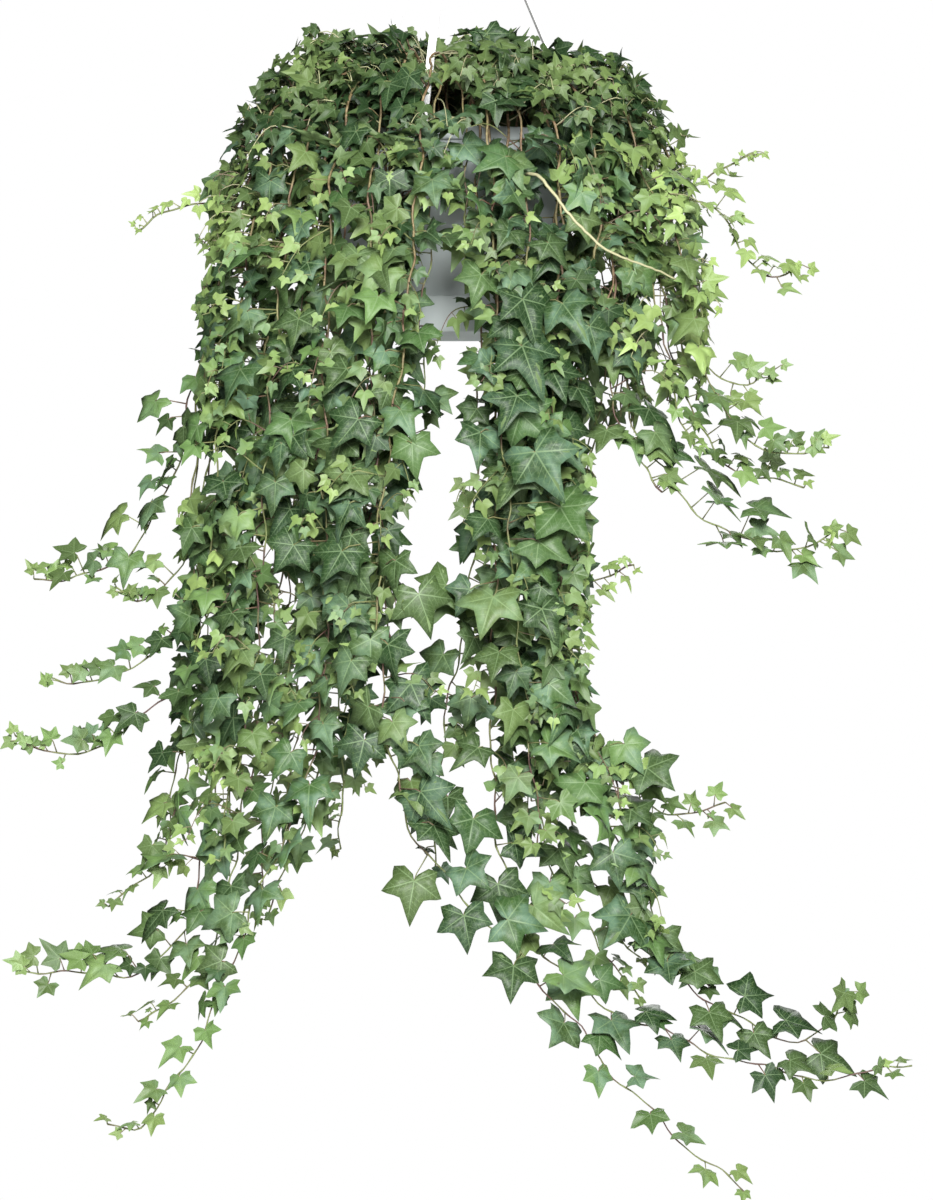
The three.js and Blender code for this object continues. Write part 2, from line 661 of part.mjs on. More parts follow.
// A closed solid through rings of points.
function lofted(rings) {
  const sides = rings[0].length;
  const positions = rings.flat().flatMap((point) => point.toArray());
  const index = [];
  for (let ring = 0; ring < rings.length - 1; ring += 1) {
    for (let side = 0; side < sides; side += 1) {
      const next = (side + 1) % sides;
      const [a, b] = [ring * sides + side, ring * sides + next];
      index.push(a, b, b + sides, a, b + sides, a + sides);
    }
  }
  const last = (rings.length - 1) * sides;
  for (let side = 1; side < sides - 1; side += 1) {
    index.push(0, side + 1, side, last, last + side, last + side + 1);
  }
  const geometry = new THREE.BufferGeometry();
  geometry.setAttribute("position", new THREE.Float32BufferAttribute(positions, 3));
  geometry.setIndex(index);
  return toSolid(geometry);
}

// A runner's own body, from its root in the soil to its tip.
function runnerBody(stations) {
  const root = stations[0].clone().addScaledVector(UP, -ROOT_DEPTH - COLLAR);
  const line = [root, ...stations];
  let corner = new THREE.Vector3(root.x, root.y, 0).normalize();
  const rings = line.map((point, i) => {
    const before = line[Math.max(i - 1, 0)];
    const after = line[Math.min(i + 1, line.length - 1)];
    const along = i < 2 ? UP.clone() : after.clone().sub(before).normalize();
    corner = corner.clone().addScaledVector(along, -corner.dot(along)).normalize();
    const side = along.clone().cross(corner);
    const radius = lerp(RUNNER_BASE, RUNNER_TIP, Math.max(i - 1, 0) / (line.length - 2));
    return Array.from({ length: RUNNER_SIDES }, (_, k) => {
      const turn = (k * 2 * Math.PI) / RUNNER_SIDES;
      return point
        .clone()
        .addScaledVector(corner, radius * Math.cos(turn))
        .addScaledVector(side, radius * Math.sin(turn));
    });
  });
  return { root, solid: lofted(rings) };
}

// The point and heading at a distance along straight stretches between stations.
function walk(stations, distance) {
  let left = distance;
  for (let i = 0; i < stations.length - 1; i += 1) {
    const length = stations[i].distanceTo(stations[i + 1]);
    if (left <= length || i === stations.length - 2) {
      const heading = stations[i + 1].clone().sub(stations[i]).normalize();
      return { point: stations[i].clone().addScaledVector(heading, left), heading };
    }
    left -= length;
  }
  throw new Error("a runner needs two stations");
}

function lengthOf(stations) {
  let length = 0;
  for (let i = 1; i < stations.length; i += 1) {
    length += stations[i].distanceTo(stations[i - 1]);
  }
  return length;
}

// How large leaves get at a height: they are smaller beside the pot.
function sizeAt(z) {
  return lerp(UPPER_SIZE, 1, clamp((UPPER_FROM - z) / UPPER_DEPTH, 0, 1));
}

// The leaf places that are modelled, from the tip of a runner back to its bare foot.
function leafPlaces({ number, stations, plan }) {
  const length = lengthOf(stations);
  const places = [];
  let fromTip = 0;
  let nextModelled = 0;
  for (let place = 0; length - fromTip > BARE_LENGTH; place += 1) {
    const spot = walk(stations, length - fromTip);
    const grown = lerp(YOUNG_SIZE, 1, Math.min(fromTip / YOUNG_LENGTH, 1)) * sizeAt(spot.point.z);
    const size = plan.leaf * grown * lerp(1 - SIZE_SPREAD, 1 + SIZE_SPREAD, draw(number, place, 1));
    if (fromTip >= nextModelled) {
      places.push({ place, size, spot });
      nextModelled = fromTip + SPARE_LENGTH + size;
    }
    fromTip += size * PITCH;
  }
  return places;
}

// The level way in which leaves at a point face, turned forwards in front of the pot.
function outwardAt(point) {
  const lean = FRONT_LEAN * clamp(1 - point.y / LEAN_FADE, 0, 1);
  return new THREE.Vector3(point.x, point.y - lean, 0).normalize();
}

// How a leaf is held: its stalk leaves the runner to one side and outwards, and the blade faces
// outwards and up and points down and away. Each further try swings it further round the runner.
function leafPose({ number, plan }, { place, size, spot }, attempt) {
  const { point, heading } = spot;
  let channel = attempt * (SPREAD_DRAWS + 1);
  const spread = () => {
    channel += 1;
    return draw(number, place, FIRST_SPREAD + channel) * 2 - 1;
  };
  const outward = outwardAt(point);
  outward.addScaledVector(heading, -outward.dot(heading)).normalize();
  const hand = place % 2 === 0 ? 1 : -1;
  const sideways = heading.clone().cross(outward).normalize().multiplyScalar(hand);
  const ways = { sideways, outward, ahead: heading, up: UP };
  const steep = Math.abs(heading.z);
  const out = clamp((Math.hypot(point.x, point.y) - OUT_FROM) / OUT_FADE, 0, 1);
  const raised = plan.raised ? (1 - steep) * out : 0;
  const swing = radians(spread() * (SWING + SWING_PER_TRY * attempt));
  const sum = (part) => {
    const total = new THREE.Vector3();
    for (const [name, way] of Object.entries(ways)) {
      const shares = Object.values(HABITS).map((habit) => habit[part][name]);
      const [share, most] = [0, 1].map((k) => {
        const [level, upright, held] = shares.map((pair) => pair[k]);
        return lerp(lerp(level, upright, steep), held, raised);
      });
      total.addScaledVector(way, share + most * spread());
    }
    return total;
  };
  const stalkWay = sum("stalk").normalize().applyAxisAngle(heading, swing);
  const facing = sum("facing").applyAxisAngle(heading, swing).normalize();
  const midrib = sum("midrib");
  midrib.addScaledVector(facing, -midrib.dot(facing)).normalize();
  const [share, most] = STALK_LENGTH;
  const stalkLength = size * (share + most * spread()) + RUNNER_BASE;
  const base = point.clone().addScaledVector(stalkWay, stalkLength);
  return { base, root: point, stalkWay, midrib, facing, across: midrib.clone().cross(facing), size };
}

// A leaf as one closed body: the blade is split into a fan from its stalk, alike on both faces.
// With extra air it is grown all round, and without a stalk it ends where the stalk would begin.
function leafSolid(pose, air, withStalk) {
  const { base, root, stalkWay, midrib, facing, across, size } = pose;
  const kind = size >= FIVE_FROM ? "five" : size >= FOUR_FROM ? "four" : "three";
  const place = (x, y, z) =>
    base.clone().addScaledVector(across, x).addScaledVector(midrib, y).addScaledVector(facing, z);
  const half = OUTLINES[kind].map(([angle, reach, lift]) => {
    const out = reach * size + air;
    return [out * Math.sin(radians(angle)), out * Math.cos(radians(angle)), lift * size];
  });
  const mirrored = half.slice(0, -1).reverse().map(([x, y, z]) => [-x, y, z]);
  const edge = [...half, ...mirrored];
  const width = STALK_HALF + air;
  const depth = STALK_DEPTH + air;
  // The stalk's keel lies square to the stalk, under the blade.
  const slope = Math.atan2(stalkWay.dot(facing), Math.max(stalkWay.dot(midrib), 0));
  const keelForward = depth * Math.sin(slope);
  const keelDown = Math.max(depth * Math.cos(slope), BLADE + GAP + air);
  const top = edge.map(([x, y, z]) => place(x, y, z + air));
  const under = edge.map(([x, y, z]) => place(x, y, z - BLADE - air));
  const notch = [place(width, 0, air), place(-width, 0, air), place(0, keelForward, -keelDown)];
  const points = [...top, ...under, ...notch];
  const count = edge.length;
  const tip = half.length - 1;
  const [right, left, keel] = [2 * count, 2 * count + 1, 2 * count + 2];
  const index = [right, tip, left];
  for (let i = 0; i < count - 1; i += 1) {
    index.push(i < tip ? right : left, i, i + 1);
    index.push(keel, count + i + 1, count + i);
    index.push(i, count + i, count + i + 1, i, count + i + 1, i + 1);
  }
  index.push(right, keel, count, right, count, 0);
  index.push(left, count - 1, 2 * count - 1, left, 2 * count - 1, keel);
  if (withStalk) {
    const end = root.clone().addScaledVector(stalkWay, -STALK_SINK - air);
    const flat = across.clone().addScaledVector(stalkWay, -across.dot(stalkWay)).normalize();
    const down = stalkWay.clone().cross(flat);
    if (down.dot(notch[2].clone().sub(base)) < 0) {
      down.negate();
    }
    const [rootWidth, rootDepth] = [width * STALK_ROOT, depth * STALK_ROOT];
    end.addScaledVector(down, -rootDepth * KEEL_SHARE);
    points.push(end.clone().addScaledVector(flat, rootWidth));
    points.push(end.clone().addScaledVector(flat, -rootWidth));
    points.push(end.clone().addScaledVector(down, rootDepth));
    const [endRight, endLeft, endKeel] = [keel + 1, keel + 2, keel + 3];
    index.push(left, endLeft, endRight, left, endRight, right);
    index.push(right, endRight, endKeel, right, endKeel, keel);
    index.push(keel, endKeel, endLeft, keel, endLeft, left);
    index.push(endRight, endLeft, endKeel);
  } else {
    index.push(right, left, keel);
  }
  const geometry = new THREE.BufferGeometry();
  geometry.setAttribute(
    "position",
    new THREE.Float32BufferAttribute(points.flatMap((point) => point.toArray()), 3),
  );
  geometry.setIndex(index);
  return toSolid(geometry);
}

function boxesMeet(a, b) {
  return [0, 1, 2].every((k) => a.min[k] <= b.max[k] && b.min[k] <= a.max[k]);
}

function solidsMeet(a, b) {
  const shared = a.intersect(b);
  const meet = !shared.isEmpty();
  shared.delete();
  return meet;
}

const obstacles = [];
function addObstacle(solid, owner) {
  obstacles.push({ solid, owner, box: solid.boundingBox() });
}

// Whether a leaf with its air is clear of everything but its own runner's stem, and whether its
// blade is clear of that as well.
function leafIsClear(pose, owner) {
  const whole = leafSolid(pose, CLEARANCE, true);
  const blade = leafSolid(pose, CLEARANCE, false);
  const box = whole.boundingBox();
  const clear = obstacles.every((obstacle) => {
    const tested = obstacle.owner === owner ? blade : whole;
    return !boxesMeet(box, obstacle.box) || !solidsMeet(tested, obstacle.solid);
  });
  whole.delete();
  blade.delete();
  return clear;
}

const soilPlaces = [];
const stems = [...RUNNERS, ...SHOOTS].map((plan, number) => {
  const stations = stationsAlong(plan.course ? runnerPoints(plan) : shootPoints(plan));
  const { root, solid } = runnerBody(stations);
  soilPlaces.push(root);
  addObstacle(solid, plan.name);
  return { plan, number, stations, solid };
});

const holder = [
  ["pot", makePot(), COLOURS.pot],
  ["saucer", makeSaucer(), COLOURS.pot],
  ["soil", makeSoil(soilPlaces), COLOURS.soil],
  ["hook", makeHook(), COLOURS.hanger],
  ...STRAP_ANGLES.map((angle, i) => [`strap_${i + 1}`, makeStrap(angle), COLOURS.hanger]),
];
for (const [name, solid] of holder) {
  addObstacle(solid, name);
}

// Leaves are set on all the runners and then joined to them.
for (const stem of stems) {
  stem.leaves = [];
  for (const place of leafPlaces(stem)) {
    for (let attempt = 0; attempt < MOST_TRIES; attempt += 1) {
      const pose = leafPose(stem, place, attempt);
      if (leafIsClear(pose, stem.plan.name)) {
        const leaf = leafSolid(pose, 0, true);
        addObstacle(leaf, `${stem.plan.name}_leaf`);
        stem.leaves.push(leaf);
        break;
      }
    }
  }
}

function material([color, roughness]) {
  return new THREE.MeshStandardMaterial({ color, roughness, metalness: 0, flatShading: true });
}

const plant = new THREE.Group();
plant.position.z = -HANG_HEIGHT;
for (const [name, solid, finish] of holder) {
  const mesh = new THREE.Mesh(toGeometry(solid), material(finish));
  mesh.name = name;
  plant.add(mesh);
}
for (const { plan, solid, leaves } of stems) {
  const joined = leaves.reduce((whole, leaf) => whole.add(leaf), solid);
  const [whole] = joined.decompose().sort((a, b) => b.volume() - a.volume());
  const finish = plan.leaf < YOUNG_BELOW ? COLOURS.leafNew : COLOURS.leafOld;
  const mesh = new THREE.Mesh(toGeometry(whole), material(finish));
  mesh.name = plan.name;
  plant.add(mesh);
}

const ivy = new THREE.Group();
ivy.add(plant);
export default ivy;
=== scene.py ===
"""Looks of a hanging pot of five-lobed English ivy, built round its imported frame.

The pot, saucer, soil and hanger are drawn again with their real edges and finishes. Each leafy
runner is grown again along the course of its solid, with fine lobed leaves on curved stalks at
every leaf place. Sizes are in millimetres in the plant's own terms: distances from the pot's axis,
and heights from the top of the pot's rim. They are turned into metres where a mesh is made.
"""

import logging
import math
from dataclasses import dataclass, field, replace
from enum import Enum, IntEnum
from typing import Sequence

import bpy
import numpy as np
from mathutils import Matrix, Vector


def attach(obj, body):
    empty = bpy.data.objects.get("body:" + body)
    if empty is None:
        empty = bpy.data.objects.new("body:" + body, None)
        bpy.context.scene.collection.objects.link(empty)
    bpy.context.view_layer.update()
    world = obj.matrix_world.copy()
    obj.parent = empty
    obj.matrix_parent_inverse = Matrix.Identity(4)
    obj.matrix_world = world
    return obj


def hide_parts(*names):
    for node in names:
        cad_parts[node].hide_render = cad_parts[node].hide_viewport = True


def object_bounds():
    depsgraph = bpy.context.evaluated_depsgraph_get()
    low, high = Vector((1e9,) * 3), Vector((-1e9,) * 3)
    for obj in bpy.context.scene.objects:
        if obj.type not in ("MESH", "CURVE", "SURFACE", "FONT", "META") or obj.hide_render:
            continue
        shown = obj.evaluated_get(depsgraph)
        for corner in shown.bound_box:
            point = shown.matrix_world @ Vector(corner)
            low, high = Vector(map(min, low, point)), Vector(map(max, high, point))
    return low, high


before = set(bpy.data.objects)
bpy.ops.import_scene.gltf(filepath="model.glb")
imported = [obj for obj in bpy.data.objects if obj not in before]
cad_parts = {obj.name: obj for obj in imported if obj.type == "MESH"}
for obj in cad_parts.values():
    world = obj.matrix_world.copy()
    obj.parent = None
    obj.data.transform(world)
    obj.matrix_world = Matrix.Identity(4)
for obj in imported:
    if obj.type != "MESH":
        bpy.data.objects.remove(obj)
CAD_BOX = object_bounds()

log = logging.getLogger("ivy")

Point = tuple[float, float, float]
Array = np.ndarray
Socket = bpy.types.NodeSocket

MM = 0.001
HANG_HEIGHT = 300.0  # the rim's top below the hook's seat, which is the origin
BODY = "root"


class Slot(Enum):
    """Material slots of the record."""

    POT = "pot_plastic"
    HANGER = "hanger_plastic"
    SOIL = "soil"
    LEAF = "ivy_leaf"
    YOUNG = "ivy_young"


class Ring(Enum):
    """Rings in which the runners leave the soil: root radius, lift and radius of the fall."""

    LOW = (86.0, 24.0, 142.0)
    MID = (62.0, 44.0, 172.0)
    HIGH = (34.0, 66.0, 200.0)


@dataclass(frozen=True)
class Fork:
    """A branch that leaves its runner and swings round the pot's axis.

    It starts and ends at shares of the runner's length, and turn is in degrees.
    """

    turn: float
    start: float = 0.12
    end: float = 1.0


@dataclass(frozen=True, kw_only=True)
class Habit:
    """How a runner bears its leaves and side shoots.

    Spacing and pitch are the distances between the last leaves and the older ones, as shares of
    their size. Youngest is the size of the last leaf as a share of the full size, which is reached
    over the tender length, and tip is the share by which the very last leaves are smaller yet.
    Where it is upright, the last leaves stand up on long stalks. The bare length next to the soil
    has no leaves. Branch is the line of a pale bare branch.
    """

    spacing: float = 0.72
    youngest: float = 0.58
    tender: float = 260.0
    tip: float = 0.62
    upright: bool = False
    pitch: float = 0.62
    bare_length: float = 55.0
    spur_step: float = 45.0
    base_radius: float = 1.35
    forks: Sequence[Fork] = ()
    branch: Sequence[Point] = ()


@dataclass(frozen=True)
class Course(Habit):
    """The way one runner goes: its ring and its angle at the rim, its leaf size, its points."""

    name: str
    ring: Ring
    rim: float
    leaf: float
    points: Sequence[Point]


@dataclass(frozen=True)
class Shoot:
    """A short upright shoot in the middle of the pot."""

    name: str
    angle: float
    root: float
    lean: float
    height: float
    leaf: float


BOTH_WAYS = (Fork(-22), Fork(21))
L, M, H = Ring.LOW, Ring.MID, Ring.HIGH
COURSES = (
    Course("left_twig", H, 184, 30, ((-249, -14, -67), (-287, -22, -85)), upright=True),
    Course("left_sweep_1", H, 193, 37, (
        (-226, -60, -193), (-244, -70, -280), (-256, -76, -323), (-279, -80, -359), (-297, -84, -382),
        (-323, -88, -395), (-351, -91, -400), (-373, -93, -396),
    ), spacing=0.6, youngest=0.7, upright=True),
    Course("left_sweep_2", M, 199, 35, (
        (-208, -84, -233), (-241, -98, -381), (-278, -106, -420), (-301, -110, -408),
    ), upright=True),
    Course("left_sweep_3", L, 206, 36, (
        (-176, -104, -224), (-220, -122, -410), (-280, -136, -472), (-330, -142, -492),
        (-359, -146, -482),
    ), spacing=0.9, upright=True),
    Course("left_sweep_4", H, 214, 35, (
        (-203, -150, -245), (-228, -164, -468), (-290, -176, -531), (-346, -184, -552),
        (-382, -188, -533),
    ), upright=True),
    Course("left_edge", M, 186, 37, (
        (-220, -34, -201), (-235, -50, -420), (-246, -62, -558), (-262, -70, -647),
    ), pitch=0.85),
    Course("left_tail_1", L, 216, 38, (
        (-162, -128, -254), (-207, -148, -536), (-224, -156, -664), (-244, -160, -718),
        (-276, -164, -740), (-316, -168, -743), (-380, -174, -738),
    ), spacing=0.5, youngest=0.78, upright=True),
    Course("left_tail_2", H, 238, 38, (
        (-113, -212, -257), (-120, -216, -535), (-179, -216, -692), (-197, -214, -740),
        (-217, -214, -786), (-237, -212, -826), (-276, -210, -871), (-298, -210, -868),
    ), spacing=0.9),
    Course("left_tail_3", M, 226, 38, (
        (-135, -160, -265), (-183, -178, -593), (-227, -186, -751), (-277, -186, -780),
    )),
    Course("left_tail_4", L, 245, 38, (
        (-73, -152, -255), (-98, -166, -497), (-140, -174, -632), (-166, -176, -695),
    )),
    Course("left_tail_5", H, 203, 37, (
        (-227, -112, -254), (-235, -126, -537), (-254, -136, -634), (-302, -146, -688),
    ), pitch=0.8),
    Course("left_fall_1", H, 226, 41, (
        (-161, -188, -247), (-173, -194, -458), (-205, -196, -641),
    ), pitch=0.75),
    Course("left_fall_2", M, 250, 42, ((-63, -192, -247), (-84, -198, -439), (-101, -200, -602))),
    Course("left_fall_3", H, 249, 47, (
        (-74, -226, -210), (-60, -238, -401), (-50, -238, -570),
    ), youngest=0.9, tip=1.1),
    Course("left_fall_4", M, 237, 42, ((-104, -168, -227), (-135, -182, -420), (-154, -190, -555))),
    Course("left_fall_5", M, 213, 40, (
        (-172, -118, -254), (-191, -128, -439), (-200, -140, -614),
    ), pitch=0.8),
    Course("left_fall_6", L, 194, 37, (
        (-162, -44, -162), (-182, -50, -380), (-194, -58, -539),
    ), pitch=0.85, forks=(Fork(-14, 0.15, 0.55),)),
    Course("front_tail_1", H, 261, 43, (
        (-43, -240, -182), (-66, -250, -401), (-38, -246, -610), (57, -236, -724), (153, -228, -842),
        (247, -220, -927),
    ), spacing=1.2),
    Course("front_short", M, 264, 46, (
        (-23, -196, -122), (-30, -200, -185), (-24, -202, -266),
    ), youngest=0.8, tip=0.9, forks=(Fork(-8, 0.12, 0.8), Fork(9, 0.12, 0.7))),
    Course("front_tail_2", M, 281, 42, (
        (37, -188, -256), (33, -200, -468), (39, -206, -631), (91, -206, -738), (214, -200, -804),
        (318, -194, -830), (397, -190, -818),
    ), spacing=0.8),
    Course("front_tail_3", H, 297, 46, (
        (86, -200, -257), (100, -204, -477), (130, -200, -596), (152, -196, -668), (168, -194, -704),
        (190, -190, -733), (220, -188, -764), (264, -182, -790), (298, -178, -798),
        (322, -174, -787), (342, -172, -756),
    ), spacing=0.5, youngest=0.8, tender=150.0, forks=(Fork(4, 0.6, 0.86),)),
    Course("front_tail_4", L, 290, 42, (
        (55, -150, -255), (60, -162, -478), (81, -170, -642), (115, -171, -699), (157, -172, -764),
    ), tender=150.0, forks=(Fork(9, 0.62, 0.96),)),
    Course("front_fall_1", L, 278, 45, (
        (20, -158, -255), (14, -168, -380), (-14, -176, -560), (-21, -182, -656),
    )),
    Course("front_fall_2", H, 279, 56, ((39, -226, -238), (54, -232, -439), (73, -236, -629))),
    Course("front_fall_3", H, 287, 47, ((67, -212, -209), (88, -216, -401), (100, -220, -554)), branch=(
        (59, -196, -48), (74, -216, -54), (101, -228, -90), (132, -226, -117), (171, -208, -131),
        (191, -194, -140),
    )),
    Course("front_fall_4", M, 301, 44, ((89, -164, -255), (90, -170, -449), (104, -174, -603))),
    Course("front_spray", H, 309, 38, (
        (106, -166, -256), (98, -170, -439), (110, -168, -565), (160, -164, -591), (204, -161, -604),
        (232, -160, -596),
    ), spacing=0.5, youngest=0.7),
    Course("right_twig_1", H, 338, 34, (
        (238, -90, -80), (262, -96, -121), (284, -101, -134), (306, -104, -122),
    ), spacing=0.45, youngest=0.7, tip=0.8),
    Course("right_twig_2", H, 351, 32, ((238, -34, -33), (266, -40, -19)), upright=True),
    Course("right_sweep_1", H, 327, 38, (
        (205, -132, -128), (228, -142, -243), (252, -148, -272), (291, -155, -290), (326, -160, -286),
    ), upright=True),
    Course("right_sweep_2", M, 333, 38, (
        (189, -94, -155), (227, -106, -287), (303, -118, -320),
    ), upright=True, forks=(Fork(-7, 0.35, 0.85),)),
    Course("right_sweep_3", M, 317, 44, (
        (144, -132, -186), (158, -144, -266), (209, -154, -337), (272, -164, -373), (304, -166, -369),
        (330, -168, -357),
    ), spacing=0.42, youngest=0.62, tender=110.0, tip=0.7, forks=(Fork(-5, 0.42, 0.76),)),
    Course("right_sweep_4", M, 346, 38, (
        (202, -52, -153), (232, -60, -216), (258, -64, -227), (285, -66, -212),
    ), upright=True),
    Course("right_sprig", L, 321, 34, ((98, -104, -244), (98, -116, -396), (158, -124, -389))),
    Course("right_fall_1", L, 308, 42, ((86, -122, -205), (82, -130, -400), (98, -136, -488))),
    Course("right_fall_2", L, 337, 40, ((140, -62, -143), (148, -66, -252)), forks=BOTH_WAYS),
    Course("right_fall_3", L, 356, 38, ((156, -10, -121), (172, -12, -236)), forks=BOTH_WAYS),
    Course("right_fall_4", H, 6, 40, ((217, 26, -129), (221, 30, -235)), forks=BOTH_WAYS),
    Course("back_right_1", M, 24, 42, ((160, 78, -156), (112, 88, -328)), forks=(Fork(16, 0.15, 0.7),)),
    Course("back_right_2", H, 40, 44, ((150, 138, -153), (104, 142, -358), (90, 146, -523))),
    Course("back_right_3", L, 52, 44, ((86, 122, -195), (74, 132, -430), (72, 140, -605))),
    Course("back_right_4", M, 66, 46, ((70, 172, -172), (49, 182, -379), (52, 188, -565))),
    Course("back_middle_1", L, 84, 42, ((14, 150, -101), (12, 154, -162)), forks=BOTH_WAYS),
    Course("back_middle_2", H, 98, 44, ((-34, 214, -86), (-32, 216, -157)), forks=BOTH_WAYS),
    Course("back_left_1", M, 116, 46, (
        (-91, 168, -193), (-100, 180, -420), (-108, 188, -648),
    ), forks=(Fork(-14, 0.1, 0.34),)),
    Course("back_left_2", H, 128, 46, ((-145, 176, -192), (-160, 186, -441), (-187, 190, -711))),
    Course("back_left_3", L, 142, 42, ((-123, 98, -196), (-137, 106, -420), (-154, 112, -604)), pitch=0.8),
    Course("back_left_4", M, 156, 44, ((-179, 84, -196), (-198, 92, -440), (-220, 98, -604)), pitch=0.8),
    Course("back_left_5", H, 170, 44, (
        (-222, 42, -198), (-226, 50, -420), (-236, 56, -541),
    ), pitch=0.8, forks=(Fork(-12, 0.15, 0.5),)),
)
SHOOTS = (
    Shoot("crown_shoot_1", 60, 13, 34, 68, 38),
    Shoot("crown_shoot_2", 180, 15, 30, 74, 38),
    Shoot("crown_shoot_3", 300, 14, 40, 66, 38),
)
CROWN_FORKS = (Fork(-72, 0.1), Fork(-36, 0.15), Fork(40, 0.2), Fork(84, 0.05))
CROWN_HABIT = Habit(
    spacing=0.45, youngest=0.9, tip=0.9, bare_length=12.0, spur_step=14.0, forks=CROWN_FORKS
)

# Shared sizes of the holder, as in the solids.
GAP = 0.3
RIM_RADIUS = 120.0
RIM_WIDTH = 6.0
LIP_DROP = 12.0
LIP_OVERHANG = 4.0
POT_WALL = 2.0
BASE_RADIUS = 88.0
OVERALL_HEIGHT = 180.0
SAUCER_FLOOR = 2.2
FOOT_HEIGHT = 3.0
POT_BOTTOM = -OVERALL_HEIGHT + SAUCER_FLOOR + GAP
FLOOR_TOP = POT_BOTTOM + FOOT_HEIGHT + POT_WALL
SOIL_DROP = 14.0
SOIL_CROWN = 3.0
COLLAR = 6.0
ROOT_DEPTH = 26.0
STRAP_ANGLES = (16.5, 136.5, 256.5)
ARCH = ((0.1, 0.6), (0.42, 1.0), (0.78, 0.46))  # on the way out: share of it, and share of the lift
FALL_HEIGHT = -45.0

# Rules for all runners and leaves.
STEM_STEP = 6.5  # distance between the points of a stem's line
THICK_DOWN_TO = -560.0  # the height down to which leaves stand close
THIN_FROM = -420.0  # the height from which runners at the back have no side shoots
CROWN_FROM = -14.0  # the height from which the leaves are smaller and jumbled
FIRST_DRAWS = (0, 61)  # added to the numbers of the draws for a leaf's first and second side
SECOND_DRAWS = (183, 122)
YOUNG_BELOW = 35.0  # runners with smaller leaves are young ones
SPARSE_PITCH = 0.7  # runners with a greater pitch have few leaves between their others
FRONT_LEAN = 130.0  # leaves in front face as if the pot's axis stood this far back
FRONT_DEPTH = 60.0  # y at which the front half begins
TIP_LENGTH = 60.0  # the length over which the very last leaves are smaller yet
UPPER_SIZE = 0.68  # leaves at the height of the pot are smaller by this share
UPPER_FROM = -20.0
UPPER_DEPTH = 270.0
SIZE_SPREAD = (0.30, 0.2)  # the shares by which leaf sizes differ above and below
SHAKE = (38.0, 23.0)  # the angles in degrees by which leaves are turned at random there
MARGIN = 0.5  # kept free between the leaves and the solids' box
LOWEST = np.array(CAD_BOX[0]) / MM + [0, 0, HANG_HEIGHT] + MARGIN
HIGHEST = np.array(CAD_BOX[1]) / MM + [0, 0, HANG_HEIGHT] - MARGIN
UP = np.array([0.0, 0.0, 1.0])
FRONT = np.array([0.0, -1.0, 0.0])
TINY = 1e-6


def lerp(a: float, b: float, t: float) -> float:
    """The value a share t of the way from a to b."""
    return a + (b - a) * t


def unit(v: Array) -> Array:
    """v at length one."""
    return v / (np.linalg.norm(v) + 1e-12)


def polar(radius: float, angle: float, z: float) -> Array:
    """A point at a distance from the pot's axis, an angle in degrees and a height."""
    turn = math.radians(angle)
    return np.array([radius * math.cos(turn), radius * math.sin(turn), z])


class Draw(IntEnum):
    """What each repeatable draw for a leaf decides."""

    SIZE = 1
    SWING = 2
    OUT = 3
    AHEAD = 4
    TILT = 5
    WIDE = 6
    DROOP = 7
    STALK = 8
    LIFT = 9
    AGE = 40
    BETWEEN = 50
    BETWEEN_SIZE = 51


@dataclass(frozen=True)
class Draws:
    """The repeatable draws for one leaf place of one runner.

    Later is added to the numbers of the draws, for another leaf at the same place.
    """

    runner: int
    place: int
    later: int = 0

    def chance(self, what: Draw) -> float:
        """Draws a number from 0 to 1.

        Args:
            what: what the number decides.

        Returns:
            The number, the same at each call.
        """
        turns = self.runner * 127.1 + self.place * 311.7 + (what + self.later) * 74.7
        v = math.sin(turns) * 43758.5453
        return v - math.floor(v)

    def spread(self, what: Draw) -> float:
        """A number from -1 to 1."""
        return self.chance(what) * 2 - 1


def wall_radius(z: float) -> float:
    """Radius of the pot's outer wall under the lip, at a height."""
    share = (z - POT_BOTTOM) / (-LIP_DROP - POT_BOTTOM)
    return lerp(BASE_RADIUS, RIM_RADIUS - LIP_OVERHANG, share)


def inner_radius(z: float) -> float:
    """Radius of the pot's inner wall at a height."""
    return lerp(BASE_RADIUS - POT_WALL, RIM_RADIUS - RIM_WIDTH, (z - FLOOR_TOP) / -FLOOR_TOP)


def soil_height(radius: float) -> float:
    """Height of the soil's surface at a distance from the pot's axis."""
    return -SOIL_DROP + SOIL_CROWN * (1 - radius / (inner_radius(-SOIL_DROP) - GAP))


DENSITY = 40  # points worked out between two given ones
SHORTEST = 1e-4  # keeps points at the same place apart


